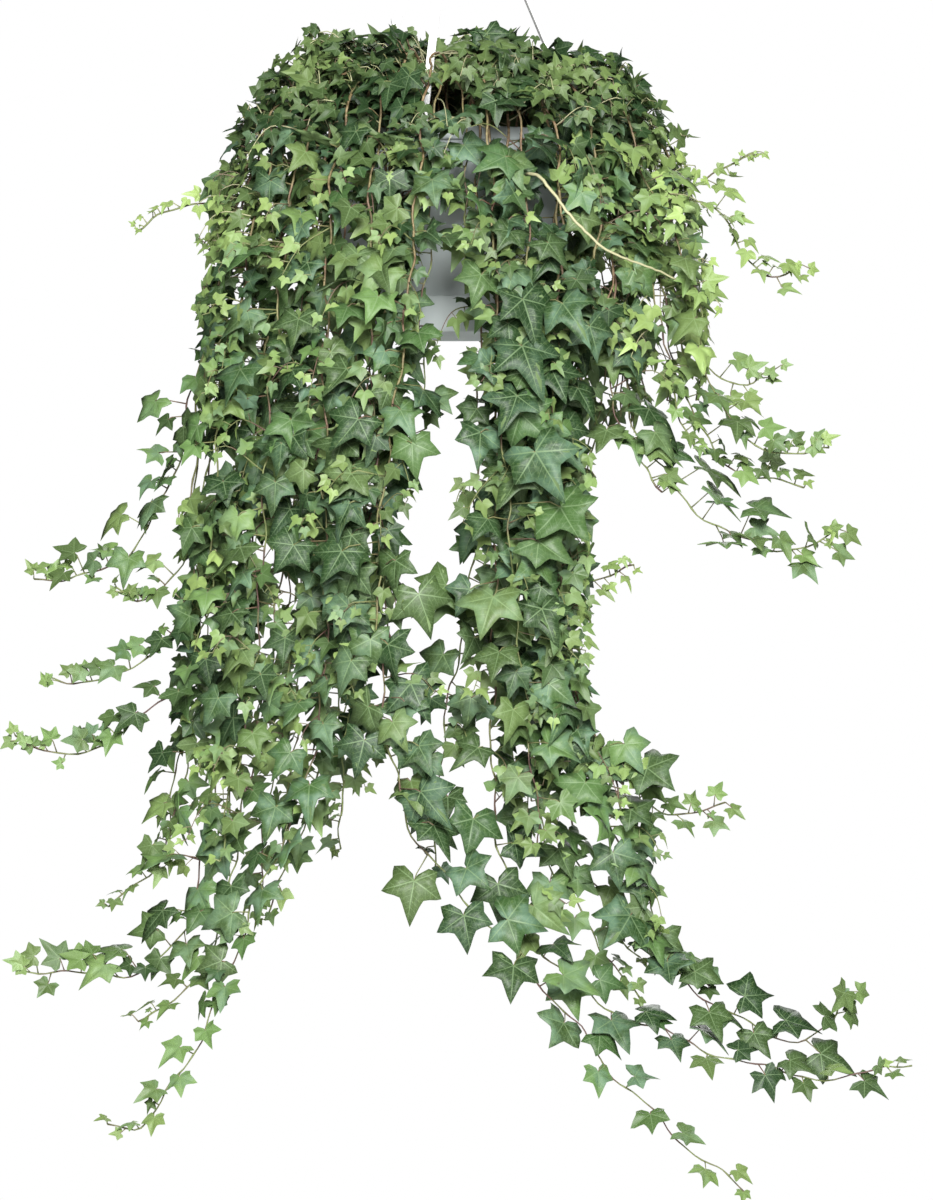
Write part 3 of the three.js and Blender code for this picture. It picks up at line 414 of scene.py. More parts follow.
def curve_through(points: Sequence[Array], step: float) -> Array:
    """Even samples of the smooth centripetal curve through the points.

    Args:
        points: the points that the curve passes.
        step: the distance between samples.

    Returns:
        An array of samples, one row each, from the first point to the last.
    """
    p = [np.asarray(q, float) for q in points]
    p = [2 * p[0] - p[1], *p, 2 * p[-1] - p[-2]]
    dense = []
    for i in range(1, len(p) - 2):
        ends = [np.linalg.norm(p[k + 1] - p[k]) ** 0.5 for k in (i - 1, i, i + 1)]
        d0, d1, d2 = (max(end, SHORTEST) for end in ends)
        t1 = (p[i] - p[i - 1]) / d0 - (p[i + 1] - p[i - 1]) / (d0 + d1) + (p[i + 1] - p[i]) / d1
        t2 = (p[i + 1] - p[i]) / d1 - (p[i + 2] - p[i]) / (d1 + d2) + (p[i + 2] - p[i + 1]) / d2
        t1, t2 = t1 * d1, t2 * d1
        a, b = p[i], p[i + 1]
        t = np.linspace(0, 1, DENSITY, endpoint=False)[:, None]
        c2, c3 = -3 * a + 3 * b - 2 * t1 - t2, 2 * a - 2 * b + t1 + t2
        dense.append(a + t1 * t + c2 * t**2 + c3 * t**3)
    dense = np.vstack([*dense, p[-2][None]])
    along = np.concatenate([[0], np.cumsum(np.linalg.norm(np.diff(dense, axis=0), axis=1))])
    count = max(int(math.ceil(along[-1] / step)), 2) + 1
    at = np.linspace(0, along[-1], count)
    return np.column_stack([np.interp(at, along, dense[:, k]) for k in range(3)])


class Shell:
    """A mesh in the making: points, faces, and what each point carries for the finish."""

    def __init__(self) -> None:
        """Starts an empty shell."""
        self.points: list[Array] = []
        self.faces: list[Array] = []
        self.flat: list[Array] = []
        self.plan: list[Array] = []
        self.tone: list[Array] = []
        self.count = 0

    def add(
        self,
        points: Array,
        faces: Array,
        tone: Array | None = None,
        plan: Array | None = None,
        flat: Array | None = None,
    ) -> None:
        """Adds a closed patch.

        Args:
            points: one row of x, y, z for each point, in millimetres.
            faces: one row of point numbers for each face, three or four.
            tone: four numbers for each point, or None.
            plan: the place on the leaf's plan for each point, or None.
            flat: for each face, whether it keeps a hard edge, or None.
        """
        n = len(points)
        if faces.shape[1] == 3:
            faces = np.column_stack([faces, np.full(len(faces), -1)])
        self.points.append(np.asarray(points, float))
        self.faces.append(np.where(faces >= 0, faces + self.count, -1))
        self.flat.append(np.zeros(len(faces), bool) if flat is None else flat)
        self.tone.append(np.zeros((n, 4)) if tone is None else tone)
        self.plan.append(np.zeros((n, 2)) if plan is None else plan)
        self.count += n

    def build(self, name: str) -> bpy.types.Object:
        """Makes the mesh object, in metres in the frame.

        Args:
            name: the piece's name.

        Returns:
            The object, linked to the scene.
        """
        points = np.vstack(self.points)
        faces = np.vstack(self.faces)
        points = (points - [0, 0, HANG_HEIGHT]) * MM
        sizes = np.where(faces[:, 3] < 0, 3, 4)
        loops = faces[np.arange(4)[None, :] < sizes[:, None]]
        mesh = bpy.data.meshes.new(name)
        mesh.vertices.add(len(points))
        mesh.vertices.foreach_set("co", points.astype(np.float32).ravel())
        mesh.loops.add(len(loops))
        mesh.loops.foreach_set("vertex_index", loops.astype(np.int32))
        mesh.polygons.add(len(faces))
        starts = np.concatenate([[0], np.cumsum(sizes)[:-1]])
        mesh.polygons.foreach_set("loop_start", starts.astype(np.int32))
        mesh.polygons.foreach_set("use_smooth", ~np.concatenate(self.flat))
        mesh.update(calc_edges=True)
        tone = mesh.attributes.new("tone", "FLOAT_COLOR", "POINT")
        tone.data.foreach_set("color", np.vstack(self.tone).astype(np.float32).ravel())
        layer = mesh.uv_layers.new(name="plan")
        layer.data.foreach_set("uv", np.vstack(self.plan)[loops].astype(np.float32).ravel())
        mesh.validate()
        piece = bpy.data.objects.new(name, mesh)
        bpy.context.scene.collection.objects.link(piece)
        return piece


def tube(line: Array, radii: Array, sides: int, squash: float = 1.0) -> tuple[Array, Array]:
    """A closed tube along a line.

    Args:
        line: points along the middle.
        radii: the radius at each point.
        sides: points round the tube.
        squash: the section's depth as a share of its width.

    Returns:
        The points and the faces.
    """
    ways = np.gradient(line, axis=0)
    ways /= np.linalg.norm(ways, axis=1)[:, None] + 1e-12
    first = np.cross(ways[0], [0.0, 0.0, 1.0])
    if np.linalg.norm(first) < 0.1:
        first = np.cross(ways[0], [1.0, 0.0, 0.0])
    normal = unit(first)
    turns = np.arange(sides) * 2 * math.pi / sides
    rings = []
    for point, way, radius in zip(line, ways, radii):
        normal = unit(normal - way * np.dot(normal, way))
        side = np.cross(way, normal)
        ring = np.cos(turns)[:, None] * normal + squash * np.sin(turns)[:, None] * side
        rings.append(point + radius * ring)
    points = np.vstack([*rings, line[:1], line[-1:]])
    faces = []
    for i in range(len(line) - 1):
        for k in range(sides):
            a, b = i * sides + k, i * sides + (k + 1) % sides
            faces.append((a, b, b + sides, a + sides))
    start, end = len(line) * sides, len(line) * sides + 1
    last = (len(line) - 1) * sides
    for k in range(sides):
        nxt = (k + 1) % sides
        faces.append((start, nxt, k, -1))
        faces.append((end, last + k, last + nxt, -1))
    return points, np.array(faces)


def turned(profile: Sequence[tuple[float, float]], sides: int) -> tuple[Array, Array]:
    """A closed body turned round the pot's axis.

    Args:
        profile: closed outline of radius and height, anticlockwise with the radius to the right.
        sides: faces round the axis.

    Returns:
        The points and the faces.
    """
    turns = np.arange(sides) * 2 * math.pi / sides
    ring = np.column_stack([np.cos(turns), np.sin(turns)])
    points, rows = [], []
    for radius, z in profile:
        if radius < TINY:
            rows.append([len(points)] * sides)
            points.append((0.0, 0.0, z))
        else:
            rows.append(list(range(len(points), len(points) + sides)))
            points.extend((x, y, z) for x, y in ring * radius)
    faces = []
    closed = profile[0][0] > TINY
    pairs = list(zip(rows, rows[1:] + (rows[:1] if closed else [])))
    for low, high in pairs[: None if closed else len(rows) - 1]:
        for k in range(sides):
            nxt = (k + 1) % sides
            face = [low[k], low[nxt], high[nxt], high[k]]
            face = [f for i, f in enumerate(face) if f not in face[:i]]
            if len(face) > 2:
                faces.append(tuple(face + [-1] * (4 - len(face))))
    return np.array(points), np.array(faces)


def rounded(profile: Sequence[tuple[float, float]], radius: float, steps: int = 4) -> list:
    """The profile with its inner corners rounded.

    Args:
        profile: points of the outline, whose first and last stay as they are.
        radius: how far from a corner its rounding starts.
        steps: points on each rounding.

    Returns:
        The longer list of points.
    """
    most = 0.45  # of the way to the next corner
    out = [profile[0]]
    for before, corner, after in zip(profile, profile[1:], profile[2:]):
        a, c, b = np.array(before), np.array(corner), np.array(after)
        reach = min(radius, np.linalg.norm(a - c) * most, np.linalg.norm(b - c) * most)
        p, q = c + unit(a - c) * reach, c + unit(b - c) * reach
        for t in np.linspace(0, 1, steps):
            out.append(tuple((1 - t) ** 2 * p + 2 * t * (1 - t) * c + t**2 * q))
    out.append(profile[-1])
    return out


def solid(name: str, points: Array, faces: Array) -> bpy.types.Object:
    """Makes a piece of one closed patch.

    Args:
        name: the piece's name.
        points: one row of x, y, z for each point, in millimetres.
        faces: one row of point numbers for each face.

    Returns:
        The piece.
    """
    shell = Shell()
    shell.add(points, faces)
    return shell.build(name)


class Nodes:
    """A small builder of shader nodes in one tree."""

    shader: bpy.types.Node | None = None

    def __init__(self, tree: bpy.types.NodeTree) -> None:
        """Works in a tree, which is emptied first."""
        self.tree = tree
        tree.nodes.clear()

    def add(self, kind: str, inputs: dict | None = None, **settings: object) -> bpy.types.Node:
        """Adds a node.

        Args:
            kind: the node's type name without the ShaderNode prefix.
            inputs: values or sockets by input name or number.
            **settings: properties of the node.

        Returns:
            The node.
        """
        node = self.tree.nodes.new("ShaderNode" + kind)
        for key, value in settings.items():
            setattr(node, key, value)
        self.feed(node, inputs or {})
        return node

    def feed(self, node: bpy.types.Node, inputs: dict) -> None:
        """Sets inputs of a node to values, or links sockets to them.

        Args:
            node: the node.
            inputs: values or sockets by input name or number.
        """
        for key, value in inputs.items():
            if isinstance(value, bpy.types.NodeSocket):
                self.tree.links.new(value, node.inputs[key])
            else:
                node.inputs[key].default_value = value

    def math(self, operation: str, *values: object) -> Socket:
        """The result of an operation on values or sockets."""
        return self.add("Math", dict(enumerate(values)), operation=operation).outputs[0]

    def times(self, a: object, b: object) -> Socket:
        """The product of two values."""
        return self.math("MULTIPLY", a, b)

    def plus(self, a: object, b: object) -> Socket:
        """The sum of two values."""
        return self.math("ADD", a, b)

    def minus(self, a: object, b: object) -> Socket:
        """The difference of two values."""
        return self.math("SUBTRACT", a, b)

    def larger(self, a: object, b: object) -> Socket:
        """The larger of two values."""
        return self.math("MAXIMUM", a, b)

    def ramp(self, value: object, low: float, high: float, out: tuple = (0.0, 1.0)) -> Socket:
        """Spreads a value smoothly from one range to another.

        Args:
            value: the socket.
            low: the value that gives the first number of out.
            high: the value that gives the second one.
            out: the range of the result.

        Returns:
            The result.
        """
        node = self.add("MapRange", {0: value, 1: low, 2: high, 3: out[0], 4: out[1]})
        node.interpolation_type = "SMOOTHSTEP"
        return node.outputs[0]

    def mix(self, share: object, a: object, b: object) -> Socket:
        """The mix of two colours, by the share of the second."""
        return self.add("Mix", {0: share, 6: a, 7: b}, data_type="RGBA").outputs[2]

    def place(self) -> Socket:
        """The place on the object."""
        return self.add("TexCoord").outputs["Object"]

    def noise(self, place: object, scale: float, detail: float = 2.0) -> Socket:
        """Cloudy noise from 0 to 1."""
        return self.add("TexNoise", {"Vector": place, "Scale": scale, "Detail": detail}).outputs[0]

    def tone(self) -> tuple[Socket, Socket, Socket, Socket]:
        """The four numbers that each point carries for the finish."""
        tone = self.add("Attribute", attribute_name="tone", attribute_type="GEOMETRY").outputs
        return (*self.add("SeparateColor", {0: tone["Color"]}).outputs, tone["Alpha"])

    def coat(self, colour: object, rough: object, height: object, strength: float, depth: float) -> None:
        """Gives the tree's shader its colour, roughness and relief.

        Args:
            colour: the base colour.
            rough: the roughness.
            height: the height of the relief, from 0 to 1.
            strength: how much of the relief is used.
            depth: the relief's depth in metres.
        """
        bump = self.add("Bump", {"Height": height, "Strength": strength, "Distance": depth})
        inputs = {"Base Color": colour, "Roughness": rough, "Normal": bump.outputs[0]}
        self.feed(self.shader, inputs)


def group(name: str, inputs: dict[str, object], outputs: Sequence[str]) -> tuple:
    """Makes an empty node group with named sockets.

    Args:
        name: the group's name.
        inputs: default value by input name; a number, or a tuple for a vector.
        outputs: names of the outputs, which are all numbers.

    Returns:
        The tree, its builder, the input node's sockets by name, and the output node.
    """
    tree = bpy.data.node_groups.new(name, "ShaderNodeTree")
    nodes = Nodes(tree)
    for key, value in inputs.items():
        kind = "NodeSocketVector" if isinstance(value, tuple) else "NodeSocketFloat"
        socket = tree.interface.new_socket(key, in_out="INPUT", socket_type=kind)
        socket.default_value = value
    for key in outputs:
        tree.interface.new_socket(key, in_out="OUTPUT", socket_type="NodeSocketFloat")
    source = tree.nodes.new("NodeGroupInput")
    sink = tree.nodes.new("NodeGroupOutput")
    return tree, nodes, {s.name: s for s in source.outputs}, sink


def rgb(red: float, green: float, blue: float) -> tuple[float, float, float, float]:
    """A colour with full alpha."""
    return (red, green, blue, 1.0)


VEIN_TURN = math.radians(64)  # from the midrib to a side lobe's vein
HIND_TURN = math.radians(57)  # from there to the hind lobe's vein
SECTOR = (math.radians(32), math.radians(92))  # where one vein's area ends and the next begins
PLAN_MIDDLE = (0.5, 0.4)
PLAN_SCALE = 0.5
MAIN_WIDTH = (0.017, 0.004)  # half the width of a main vein at its root and near its end
SIDE_SLANT = 0.75  # how far side veins run ahead while they go outwards
SIDE_COUNT = 9.5  # side veins over the leaf's size
NET_SCALE = 26.0  # meshes of the fine net over the plan


def vein_group() -> bpy.types.NodeTree:
    """Veins on a leaf's plan: the five main ones, their side veins and the fine net.

    Returns:
        The group, with outputs Main, Side and Net, each from 0 to 1.
    """
    given = {"Plan": (0.0, 0.0, 0.0), "Phase": 0.0}
    tree, n, given, sink = group("leaf_veins", given, ("Main", "Side", "Net"))
    parts = n.add("SeparateXYZ", {0: given["Plan"]}).outputs
    x, y = (n.math("DIVIDE", n.minus(parts[i], PLAN_MIDDLE[i]), PLAN_SCALE) for i in (0, 1))
    x = n.math("ABSOLUTE", x)
    radius = n.math("SQRT", n.plus(n.times(x, x), n.times(y, y)))
    turn = n.math("ARCTAN2", x, y)
    past_side = n.times(n.math("GREATER_THAN", turn, SECTOR[0]), VEIN_TURN)
    past_hind = n.times(n.math("GREATER_THAN", turn, SECTOR[1]), HIND_TURN)
    off = n.minus(turn, n.plus(past_side, past_hind))
    along = n.times(radius, n.math("COSINE", off))
    beside = n.times(radius, n.math("ABSOLUTE", n.math("SINE", off)))
    main = n.ramp(n.math("DIVIDE", beside, n.ramp(along, 0.0, 0.85, MAIN_WIDTH)), 1.0, 0.35)
    steps = n.times(n.minus(along, n.times(beside, SIDE_SLANT)), SIDE_COUNT)
    wave = n.math("ABSOLUTE", n.minus(n.math("FRACT", n.plus(steps, given["Phase"])), 0.5))
    side = n.times(n.ramp(wave, 0.075, 0.02), n.ramp(beside, 0.30, 0.05))
    side = n.times(side, n.ramp(radius, 0.05, 0.16))
    shift = n.add("CombineXYZ", {2: given["Phase"]}).outputs[0]
    shifted = n.add("VectorMath", {0: given["Plan"], 1: shift}).outputs[0]
    net = n.add("TexVoronoi", {"Vector": shifted, "Scale": NET_SCALE}, feature="DISTANCE_TO_EDGE")
    n.feed(sink, {"Main": main, "Side": side, "Net": n.ramp(net.outputs["Distance"], 0.09, 0.01)})
    return tree


def dust_group() -> bpy.types.NodeTree:
    """Fine dust, scuffs and moulding ripple for smooth plastic.

    Returns:
        The group, with outputs Dust from 0 to 1, Scuff from 0 to 1, and Height.
    """
    given = {"Place": (0.0, 0.0, 0.0), "Amount": 0.5}
    tree, n, given, sink = group("plastic_wear", given, ("Dust", "Scuff", "Height"))
    cloud = n.noise(given["Place"], 22.0, 4.0)
    dust = n.times(n.ramp(cloud, 0.42, 0.75), given["Amount"])
    stretch = n.add("Mapping", {0: given["Place"], "Scale": (240.0, 240.0, 14.0)})
    streak = n.noise(stretch.outputs[0], 1.0, 3.0)
    scuff = n.times(n.ramp(streak, 0.62, 0.72), given["Amount"])
    ripple = n.noise(given["Place"], 260.0)
    height = n.plus(n.times(ripple, 0.5), n.times(scuff, 0.3))
    n.feed(sink, {"Dust": dust, "Scuff": scuff, "Height": height})
    return tree


@dataclass
class Groups:
    """The node groups that several finishes share, each built once."""

    veins: bpy.types.NodeTree = field(default_factory=vein_group)
    wear: bpy.types.NodeTree = field(default_factory=dust_group)


def new_material(name: str) -> tuple[bpy.types.Material, Nodes]:
    """Makes a material with an output and a plain Principled shader.

    Args:
        name: the material's name.

    Returns:
        The material and its node builder.
    """
    material = bpy.data.materials.new(name)
    material.use_nodes = True
    nodes = Nodes(material.node_tree)
    nodes.shader = nodes.add("BsdfPrincipled")
    nodes.add("OutputMaterial", {0: nodes.shader.outputs[0]})
    return material, nodes


@dataclass(frozen=True)
class LeafFinish:
    """Waxy blade: dark when old and darker yet where shade is painted, yellow-green when young, with pale
    veins and a painted bluish sheen on some leaves.
    """

    name: str
    groups: Groups
    deep: tuple = rgb(0.012, 0.034, 0.009)
    old: tuple = rgb(0.040, 0.090, 0.023)
    fresh: tuple = rgb(0.092, 0.172, 0.050)
    painted_sheen: tuple = rgb(0.082, 0.150, 0.092)
    young: tuple = rgb(0.252, 0.350, 0.106)
    vein: tuple = rgb(0.150, 0.225, 0.110)
    under: tuple = rgb(0.120, 0.180, 0.070)
    patch_scale: float = 55.0
    speckle_scale: float = 420.0
    rough: tuple[float, float] = (0.46, 0.62)
    specular: float = 0.34

    def make(self) -> bpy.types.Material:
        """Builds the material.

        Returns:
            The material.
        """
        material, n = new_material(self.name)
        youth, varied_and_shaded, width, phase = n.tone()
        below = n.minus(1.0, n.math("GREATER_THAN", width, 0.05))
        broad = n.ramp(width, 0.30, 0.75)
        plan = n.add("UVMap", uv_map="plan").outputs[0]
        veins = n.add("Group", {"Plan": plan, "Phase": phase}, node_tree=self.groups.veins)
        main, side, net = veins.outputs
        place = n.place()
        patches = n.noise(place, self.patch_scale, 3.0)
        speckle = n.noise(place, self.speckle_scale)
        # Deep to fresh by the tone's second number, which varies at random and is lowered where shade is
        # painted.
        base = n.mix(n.ramp(varied_and_shaded, 0.20, 0.75), self.deep, self.old)
        base = n.mix(n.ramp(varied_and_shaded, 0.62, 0.98), base, self.fresh)
        # Painted sheen: a bluish-grey tint on some leaves stands in for their highlights, and leaves painted
        # dark get none.
        painted_sheen_share = n.times(n.ramp(patches, 0.38, 0.66), n.ramp(phase, 0.25, 0.75))
        base = n.mix(n.times(painted_sheen_share, n.ramp(varied_and_shaded, 0.03, 0.22)), base, self.painted_sheen)
        base = n.mix(youth, base, self.young)
        flecks = n.times(n.ramp(speckle, 0.55, 0.75), 0.14)
        base = n.mix(n.times(flecks, broad), base, self.young)
        fine = n.times(n.larger(n.times(side, 0.42), n.times(net, 0.16)), broad)
        lines = n.larger(n.times(main, n.ramp(broad, 0.0, 1.0, (0.35, 0.65))), fine)
        base = n.mix(lines, base, n.mix(n.times(youth, 0.7), self.vein, self.young))
        underside = n.mix(n.times(youth, 0.6), self.under, self.young)
        base = n.mix(n.times(below, 0.8), base, underside)
        rough = n.plus(n.ramp(patches, 0.3, 0.8, self.rough), n.times(below, 0.2))
        groove = n.larger(n.times(main, 0.9), n.times(side, 0.5))
        relief = n.minus(n.times(speckle, 0.03), n.times(groove, broad))
        n.coat(base, rough, relief, 0.35, 0.0003)
        n.feed(n.shader, {"Specular IOR Level": self.specular})
        return material


@dataclass(frozen=True)
class StemFinish:
    """Runner bark: brown and rough at the root, green to purple towards the tip."""

    name: str = "runner_bark"
    bark: tuple = rgb(0.140, 0.085, 0.042)
    pale: tuple = rgb(0.300, 0.215, 0.120)
    green: tuple = rgb(0.130, 0.160, 0.050)
    purple: tuple = rgb(0.085, 0.045, 0.035)
    bleached: tuple = rgb(0.400, 0.400, 0.230)
    grain_scale: float = 300.0
    rough: tuple[float, float] = (0.5, 0.8)

    def make(self) -> bpy.types.Material:
        """Builds the material.

        Returns:
            The material.
        """
        material, n = new_material(self.name)
        softness, bleaching, _, _ = n.tone()
        place = n.place()
        grain = n.noise(place, self.grain_scale, 4.0)
        wood = n.mix(n.ramp(grain, 0.4, 0.7), self.bark, self.pale)
        soft = n.mix(n.ramp(n.noise(place, 28.0), 0.45, 0.62), self.green, self.purple)
        base = n.mix(bleaching, n.mix(softness, wood, soft), self.bleached)
        n.coat(base, n.ramp(grain, 0.3, 0.8, self.rough), grain, 0.6, 0.0005)
        return material


@dataclass(frozen=True)
class PlasticFinish:
    """Satin moulded plastic with a little dust and scuffing."""

    name: str
    groups: Groups
    colour: tuple
    dusty: tuple
    wear: float
    rough: tuple[float, float]

    def make(self) -> bpy.types.Material:
        """Builds the material.

        Returns:
            The material.
        """
        material, n = new_material(self.name)
        given = {"Place": n.place(), "Amount": self.wear}
        dust, scuff, height = n.add("Group", given, node_tree=self.groups.wear).outputs
        rough = n.ramp(n.plus(dust, scuff), 0.0, 1.0, self.rough)
        n.coat(n.mix(dust, self.colour, self.dusty), rough, height, 0.12, 0.0004)
        return material


@dataclass(frozen=True)
class SoilFinish:
    """Damp potting mix: dark crumbs with paler fibres and a few light grains."""

    name: str = "potting_mix"
    dark: tuple = rgb(0.018, 0.011, 0.007)
    brown: tuple = rgb(0.090, 0.055, 0.032)
    grain: tuple = rgb(0.420, 0.380, 0.310)
    clod_scale: float = 160.0
    grain_scale: float = 240.0
    rough: tuple[float, float] = (0.75, 0.95)

    def make(self) -> bpy.types.Material:
        """Builds the material.

        Returns:
            The material.
        """
        material, n = new_material(self.name)
        place = n.place()
        clods = n.noise(place, self.clod_scale, 6.0)
        bits = n.add("TexVoronoi", {"Vector": place, "Scale": self.grain_scale}).outputs["Distance"]
        base = n.mix(n.ramp(clods, 0.35, 0.7), self.dark, self.brown)
        base = n.mix(n.ramp(bits, 0.10, 0.04), base, self.grain)
        n.coat(base, n.ramp(clods, 0.3, 0.7, self.rough), clods, 1.0, 0.002)
        return material


def finish_piece(
    piece: bpy.types.Object, material: bpy.types.Material, slot: Slot, *stands_for: str
) -> None:
    """Gives a piece its finish and body, and hides the solids that it stands for.

    Args:
        piece: the piece.
        material: its finish.
        slot: not used.
        *stands_for: names of the solids.
    """
    piece.data.materials.append(material)
    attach(piece, BODY)
    if stands_for:
        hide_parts(*stands_for)
    log.info("%s: %d faces", piece.name, len(piece.data.polygons))


@dataclass
class Pot:
    """The tapered pot with its rolled rim, lip and foot."""

    roll: float = 2.2
    sides: int = 128
    drain_radius: float = 7.3
    foot_width: float = 4.0
    lip_edge: float = 1.2
    bend: float = 3.0
    crown: float = 0.2
    inner_edge: float = 8.0

    def build(self) -> bpy.types.Object:
        """Turns the pot's wall, floor and rim.

        Returns:
            The piece.
        """
        foot = BASE_RADIUS - self.foot_width
        drain = (self.drain_radius, POT_BOTTOM + FOOT_HEIGHT)
        profile = [
            drain,
            (foot, POT_BOTTOM + FOOT_HEIGHT),
            (foot, POT_BOTTOM),
            (BASE_RADIUS, POT_BOTTOM),
            (wall_radius(-LIP_DROP - self.bend), -LIP_DROP - self.bend),
            (RIM_RADIUS - LIP_OVERHANG, -LIP_DROP),
            (RIM_RADIUS - self.lip_edge, -LIP_DROP),
            (RIM_RADIUS, -LIP_DROP + self.bend),
            (RIM_RADIUS, -self.crown),
            (RIM_RADIUS - RIM_WIDTH / 2, 0),
            (RIM_RADIUS - RIM_WIDTH, -self.crown),
            (inner_radius(-self.inner_edge), -self.inner_edge),
            (inner_radius(FLOOR_TOP), FLOOR_TOP),
            (self.drain_radius, FLOOR_TOP),
            drain,
        ]
        return solid("pot_wall", *turned(rounded(profile, self.roll)[:-1], self.sides))


@dataclass
class Saucer:
    """The snug saucer that clips on under the pot."""

    height: float = 32.0
    play: float = 1.2
    wall: float = 2.0
    roll: float = 1.6
    sides: int = 128
    hollow: float = 0.6
    hollow_radius: tuple[float, float] = (60.0, 64.0)
    stud: float = 7.0
    cap_radius: float = 9.5
    cap: float = 3.0

    def build(self) -> bpy.types.Object:
        """Turns the saucer with its rolled upper edge.

        Returns:
            The piece.
        """
        low = -OVERALL_HEIGHT
        high = low + self.height
        floor = low + SAUCER_FLOOR
        seat = FLOOR_TOP + GAP
        profile = [
            (0.0, low + self.hollow),
            (self.hollow_radius[0], low + self.hollow),
            (self.hollow_radius[1], low),
            (wall_radius(low) + self.play + self.wall - 1.0, low),
            (wall_radius(low + 4) + self.play + self.wall, low + 4),
            (wall_radius(high) + self.play + self.wall, high),
            (wall_radius(high) + self.play, high),
            (wall_radius(floor) + self.play, floor),
            (self.stud, floor),
            (self.stud, seat),
            (self.cap_radius, seat),
            (self.cap_radius, seat + self.cap),
            (0.0, seat + self.cap),
        ]
        return solid("saucer_dish", *turned(rounded(profile, self.roll), self.sides))


@dataclass
class Soil:
    """Potting mix with an uneven crumbly top."""

    rings: int = 34
    sides: int = 96
    crumbs: int = 420
    roughness: float = 1.6
    waves: int = 14
    wave_turn: float = 0.12
    wave_height: tuple[float, float] = (0.1, 0.4)
    grit: float = 0.35
    spread: float = 110.0
    stud_room: tuple[float, float] = (9.8, 4.0)
    least: tuple[float, float, float] = (1.2, 0.8, 0.6)
    most: tuple[float, float, float] = (3.4, 2.0, 1.2)

    def surface(self, rng: np.random.Generator) -> tuple[Array, Array]:
        """Makes the lump of soil, with its top raised and lowered at random.

        Args:
            rng: source of the bumps.

        Returns:
            The points and the faces.
        """
        edge = inner_radius(-SOIL_DROP) - GAP
        bottom = FLOOR_TOP + GAP
        room, depth = self.stud_room
        profile = [(0.0, bottom + depth), (room, bottom + depth), (room, bottom)]
        profile += [(inner_radius(bottom) - GAP, bottom)]
        profile += [(edge * (1 - i / self.rings), 0.0) for i in range(self.rings)] + [(0.0, 0.0)]
        points, faces = turned(profile, self.sides)
        top = points[:, 2] == 0.0
        radius = np.hypot(points[:, 0], points[:, 1])
        heights = np.array([soil_height(min(r, edge)) for r in radius])
        ways = [rng.normal(0, self.wave_turn, self.waves) for _ in range(2)]
        starts = rng.uniform(0, 6, self.waves)
        sizes = rng.uniform(*self.wave_height, self.waves)
        bumps = sum(
            np.sin(points[:, 0] * fx + points[:, 1] * fy + start) * size
            for fx, fy, start, size in zip(*ways, starts, sizes)
        )
        bumps += rng.normal(0, self.grit, len(points))
        calm = np.clip((edge - radius) / 6, 0, 1)
        points[top, 2] = (heights + np.clip(bumps, -2, 1) * self.roughness * calm - 1.0)[top]
        return points, faces

    def crumb(self, rng: np.random.Generator) -> tuple[Array, Array]:
        """Makes one crumb of bark or grit: a squashed eight-faced lump with its corners moved.

        Args:
            rng: source of its size and place.

        Returns:
            The points and the faces.
        """
        corners = np.vstack([sign * axis for axis in np.eye(3) for sign in (1, -1)])
        corners *= rng.uniform(0.7, 1.3, (6, 1)) * rng.uniform(self.least, self.most)
        turn = rng.uniform(0, math.pi)
        c, s = math.cos(turn), math.sin(turn)
        radius = self.spread * math.sqrt(rng.uniform(0, 1))
        centre = polar(radius, rng.uniform(0, 360), soil_height(radius) - 0.6)
        faces = [(0, 2, 4), (2, 1, 4), (1, 3, 4), (3, 0, 4), (2, 0, 5), (1, 2, 5), (3, 1, 5), (0, 3, 5)]
        return corners @ np.array([[c, -s, 0], [s, c, 0], [0, 0, 1]]).T + centre, np.array(faces)

    def build(self) -> bpy.types.Object:
        """Joins the lump and its crumbs.

        Returns:
            The piece.
        """
        rng = np.random.default_rng(7)
        shell = Shell()
        shell.add(*self.surface(rng))
        for _ in range(self.crumbs):
            points, faces = self.crumb(rng)
            shell.add(points, faces, flat=np.ones(len(faces), bool))
        return shell.build("soil_top")


def apply_modifiers(piece: bpy.types.Object) -> None:
    """Turns the result of a piece's modifiers into its own mesh.

    Args:
        piece: the piece.
    """
    graph = bpy.context.evaluated_depsgraph_get()
    mesh = bpy.data.meshes.new_from_object(piece.evaluated_get(graph))
    old = piece.data
    piece.modifiers.clear()
    piece.data = mesh
    bpy.data.meshes.remove(old)


def bevelled(piece: bpy.types.Object, width: float) -> bpy.types.Object:
    """Rounds the sharp edges of a piece.

    Args:
        piece: the piece.
        width: the width of the rounding in millimetres.

    Returns:
        The same piece.
    """
    modifier = piece.modifiers.new("edges", "BEVEL")
    modifier.width = width * MM
    modifier.segments = 3
    modifier.limit_method = "ANGLE"
    modifier.angle_limit = math.radians(35)
    modifier.harden_normals = False
    apply_modifiers(piece)
    return piece


